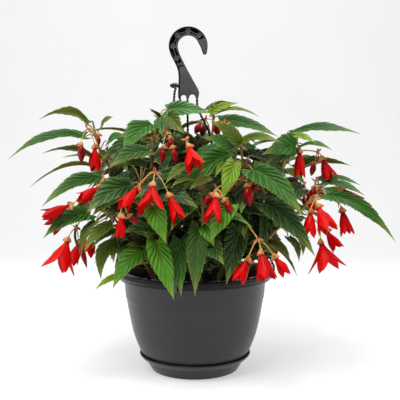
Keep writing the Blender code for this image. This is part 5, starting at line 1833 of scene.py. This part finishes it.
def ovary_skin():
    """Yellow-green body with pinkish wings."""
    n = Nodes("ovary")
    wing = n.marks()[1]
    colour = n.ramp(n.speckle(150.0, 3.0), [(0.3, (160, 138, 60)), (0.7, (206, 178, 84))])
    colour = n.mix(n.band(wing, 0.05, 0.6), colour, srgb((206, 92, 66)))
    n.relief(n.speckle(700.0, 3.0), 0.3, 0.2)
    return n.finish(colour, 0.42, Subsurface_Weight=0.25, Subsurface_Scale=0.002)


def bract_skin():
    """Papery pink-red scales, greener towards the foot."""
    n = Nodes("bract")
    along, _, _, tone = n.marks()
    colour = n.ramp(n.calc("ADD", n.calc("MULTIPLY", along, 0.6), n.calc("MULTIPLY", tone, 0.4)),
                    [(0.1, (146, 126, 60)), (0.45, (192, 96, 70)), (0.9, (206, 60, 58))])
    veins = n.speckle(500.0, 4.0)
    colour = n.tint(colour, veins, 0.3, (226, 160, 130))
    n.relief(veins, 0.4, 0.2)
    return n.finish(colour, 0.5, Subsurface_Weight=0.2, Subsurface_Scale=0.002)


def anther_skin():
    """Orange clubs on pale yellow threads, dusted with pollen."""
    n = Nodes("anther")
    tone = n.marks()[3]
    colour = n.mix(tone, srgb((236, 196, 110)), srgb((244, 140, 40)))
    dust = n.speckle(1500.0, 2.0)
    colour = n.tint(colour, dust, 0.35, (255, 206, 110))
    n.relief(dust, 0.5, 0.2)
    return n.finish(colour, 0.6)


def pot_plastic():
    """Charcoal moulded plastic: fine grain and flow marks, a broken dark line of painted shadow just under
    the ledge, a little dust.
    """
    n = Nodes("pot_plastic")
    place = n.place()
    flow = n.add("Mapping", {"Vector": place, "Scale": (1.0, 1.0, 7.0)}).outputs[0]
    clouds = n.speckle(7.0, 5.0, flow)
    colour = n.ramp(clouds, [(0.3, (38, 38, 39)), (0.7, (45, 45, 46))])
    height = n.add("SeparateXYZ", {0: place}).outputs[2]
    # Painted shadow: a broken dark line just under the ledge.
    seam_and_ledge_shade = n.band(n.calc("ABSOLUTE", n.calc("SUBTRACT", height, (LEDGE - 0.6) * MM)), 0.9 * MM, 0.3 * MM)
    colour = n.mix(n.calc("MULTIPLY", seam_and_ledge_shade, n.band(clouds, 0.4, 0.6)), colour, srgb((16, 16, 17)))
    colour = n.tint(colour, n.band(n.speckle(420.0, 3.0), 0.62, 0.75), 0.08, (140, 138, 132))
    n.relief(n.speckle(1600.0, 2.0), 0.12, 0.1)
    return n.finish(colour, n.calc("ADD", n.calc("MULTIPLY", clouds, 0.1), 0.3), Specular_IOR_Level=0.34)


def shaded_rim_plastic():
    """The same plastic on the rim, coloured nearly black as painted shade, and a little smoother."""
    n = Nodes("shaded_rim_plastic")
    clouds = n.speckle(30.0, 4.0)
    # Painted shade: the rim's plastic is coloured near black.
    colour = n.ramp(clouds, [(0.3, (9, 9, 10)), (0.7, (15, 15, 16))])
    colour = n.tint(colour, n.band(n.speckle(420.0, 3.0), 0.62, 0.75), 0.06, (120, 118, 112))
    n.relief(n.speckle(1600.0, 2.0), 0.12, 0.1)
    return n.finish(colour, n.calc("ADD", n.calc("MULTIPLY", clouds, 0.1), 0.22), Specular_IOR_Level=0.16)


def hanger_plastic():
    """Moulded plastic: grey on the hook's raised faces and nearly black elsewhere; on the hook's flanks and
    sunk faces the black is painted shade.
    """
    n = Nodes("hanger_plastic")
    tone = n.marks()[3]
    deep = n.calc("ABSOLUTE", n.add("SeparateXYZ", {0: n.place()}).outputs[1])
    # Painted shade: all but the hook's raised faces stay near black, which on its flanks and sunk faces
    # stands for shade.
    face = n.calc("MULTIPLY", n.band(deep, 2.0 * MM, 2.42 * MM), n.calc("SUBTRACT", 1.0, tone))
    face_grey = n.ramp(n.speckle(60.0, 5.0), [(0.3, (64, 64, 65)), (0.7, (80, 80, 81))])
    colour = n.mix(face, srgb((9, 9, 10)), face_grey)
    n.relief(n.speckle(1600.0, 2.0), 0.15, 0.1)
    return n.finish(colour, n.calc("ADD", n.calc("MULTIPLY", face, 0.12), 0.32), Specular_IOR_Level=0.4)


def soil_skin():
    """Damp dark peat with fibres and a few paler crumbs."""
    n = Nodes("soil")
    tone = n.marks()[3]
    coarse = n.speckle(140.0, 8.0)
    colour = n.ramp(coarse, [(0.3, (10, 8, 6)), (0.55, (24, 18, 13)), (0.75, (42, 32, 24))])
    colour = n.tint(colour, tone, 0.3, (86, 62, 42))
    n.relief(n.calc("ADD", coarse, n.speckle(800.0, 4.0)), 0.8, 1.0)
    return n.finish(colour, 0.92)


def floor_skin():
    """A pale matt floor with the faintest mottling, which darkens towards the backdrop."""
    n = Nodes("floor")
    wall = n.band(n.add("SeparateXYZ", {0: n.place()}).outputs[1], *WALL_FADE)
    glow = n.mix(wall, (1.0, 1.0, 1.0, 1.0), (WALL_SHADE, WALL_SHADE, WALL_SHADE, 1.0))
    colour = n.ramp(n.speckle(3.0, 4.0), [(0.2, (192, 192, 193)), (0.8, (197, 197, 198))])
    colour = n.mix(1.0, colour, glow, "MULTIPLY")
    return n.finish(colour, 0.7, Specular_IOR_Level=0.1, Emission_Color=glow, Emission_Strength=FLOOR_GLOW)


# Floor, lights and camera.

def make_stage(finish):
    """A floor that curves up into a backdrop."""
    rows = [(FLOOR_FRONT, 0.0), (FLOOR_BACK, 0.0)]
    rows += arc((FLOOR_BACK, COVE_RADIUS), COVE_RADIUS, -90, 0, 12)[1:]
    rows.append((FLOOR_BACK + COVE_RADIUS, WALL_TOP))
    points = [Vector((x, y, z + FLOOR_LEVEL)) for y, z in rows for x in (-STAGE_HALF, STAGE_HALF)]
    faces = [[2 * k, 2 * k + 1, 2 * k + 3, 2 * k + 2] for k in range(len(rows) - 1)]
    mesh = bpy.data.meshes.new("stage")
    mesh.from_pydata(points, [], faces)
    mesh.materials.append(finish)
    mesh.shade_smooth()
    new_object("stage", mesh)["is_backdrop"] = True


def add_light(name, place, aim, size, power):
    """A soft square light that looks at a place."""
    light = bpy.data.lights.new(name, "AREA")
    light.size, light.energy = size, power
    made = new_object(name, light)
    made.location = place
    made.rotation_euler = (Vector(aim) - Vector(place)).to_track_quat("-Z", "Y").to_euler()


def make_lights():
    """Soft studio light, and a pale surround that is dimmer behind the camera."""
    for light in LIGHTS:
        add_light(*light)
    world = bpy.data.worlds.new("surround")
    world.use_nodes = True
    nodes, links = world.node_tree.nodes, world.node_tree.links
    way = nodes.new("ShaderNodeSeparateXYZ")
    links.new(nodes.new("ShaderNodeTexCoord").outputs["Generated"], way.inputs[0])
    dim = nodes.new("ShaderNodeMapRange")
    dim.interpolation_type = "SMOOTHSTEP"
    for socket, value in zip(dim.inputs[1:5], (*SURROUND_FADE, DIM_SURROUND, SURROUND)):
        socket.default_value = value
    links.new(way.outputs[1], dim.inputs[0])
    links.new(dim.outputs[0], nodes["Background"].inputs["Strength"])
    nodes["Background"].inputs["Color"].default_value = (1, 1, 1, 1)
    bpy.context.scene.world = world


def make_camera():
    """The camera of the photograph."""
    camera = new_object("camera", bpy.data.cameras.new("camera"))
    camera.data.lens, camera.data.sensor_width = CAMERA_LENS, CAMERA_SENSOR
    camera.data.shift_y = CAMERA_SHIFT
    camera.location = CAMERA_PLACE
    camera.rotation_euler = (math.radians(90 - CAMERA_DIP), 0, 0)
    bpy.context.scene.camera = camera


def make_leafy_stem(name, stem, path, plan, draw, finishes):
    """One stem with its leaves and the stalks of its sprays."""
    leaves, inner, sprays = plan
    skin, roots = Skin(), []
    for leaf, sway in leaves:
        if leaf.stem == name:
            add_leaf(skin, leaf, path, sway, draw)
            roots.append(nearest_on(path, mm(leaf.base)))
    for leaf, sway in inner:
        if leaf.stem == name:
            add_leaf(skin, leaf, path, sway, draw, INNER_TEETH, INNER_COLUMNS)
    for _, spray, sway in sprays:
        if spray.stem == name:
            line = bend(peduncle_path(spray, path, sway), 5)
            skin.add_rod(line, [PEDUNCLE_RADIUS] * len(line), 8, "flower stalk", 0.6)
    add_stem(skin, stem, roots)
    dress(make_mesh(f"leafy_stem_{name}_fine", skin, finishes), f"leafy_stem_{name}")


def make_spray(number, spray, path, draw, finishes):
    """One flower spray."""
    skin = Skin()
    add_spray(skin, spray, path, draw)
    dress(make_mesh(f"spray_{number:02d}_fine", skin, finishes), f"spray_{number:02d}")


def make_plant(draw):
    """Every leafy stem and every flower spray, each in its own piece."""
    finishes = {"leaf top": leaf_top(), "leaf under": leaf_under(), "leaf stalk": leaf_stalk_skin(),
                "stem": stem_skin(), "flower stalk": flower_stalk_skin(), "bract": bract_skin(),
                "petal": petal_skin(), "bud": bud_skin(), "ovary": ovary_skin(), "anther": anther_skin()}
    stems, paths, leaves, sprays, places = plan_plant()
    inner = settle_inner(paths, places, shown_places(leaves, sprays), random.Random(5))
    for name, stem in stems.items():
        make_leafy_stem(name, stem, paths[name], (leaves, inner, sprays), draw, finishes)
    for number, spray, _ in sprays:
        make_spray(number, spray, paths[spray.stem], draw, finishes)


def main():
    """Camera, light, stage, moulded pieces, soil and plant."""
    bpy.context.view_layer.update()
    bpy.context.scene.view_settings.view_transform = "Standard"
    make_camera()
    make_lights()
    make_stage(floor_skin())
    draw = random.Random(23)
    grey, hook_grey = pot_plastic(), hanger_plastic()
    make_pot(grey, shaded_rim_plastic())
    make_saucer(grey)
    make_soil(draw, soil_skin())
    make_hanger(hook_grey)
    make_fourth_strand(hook_grey)
    make_plant(draw)


main()
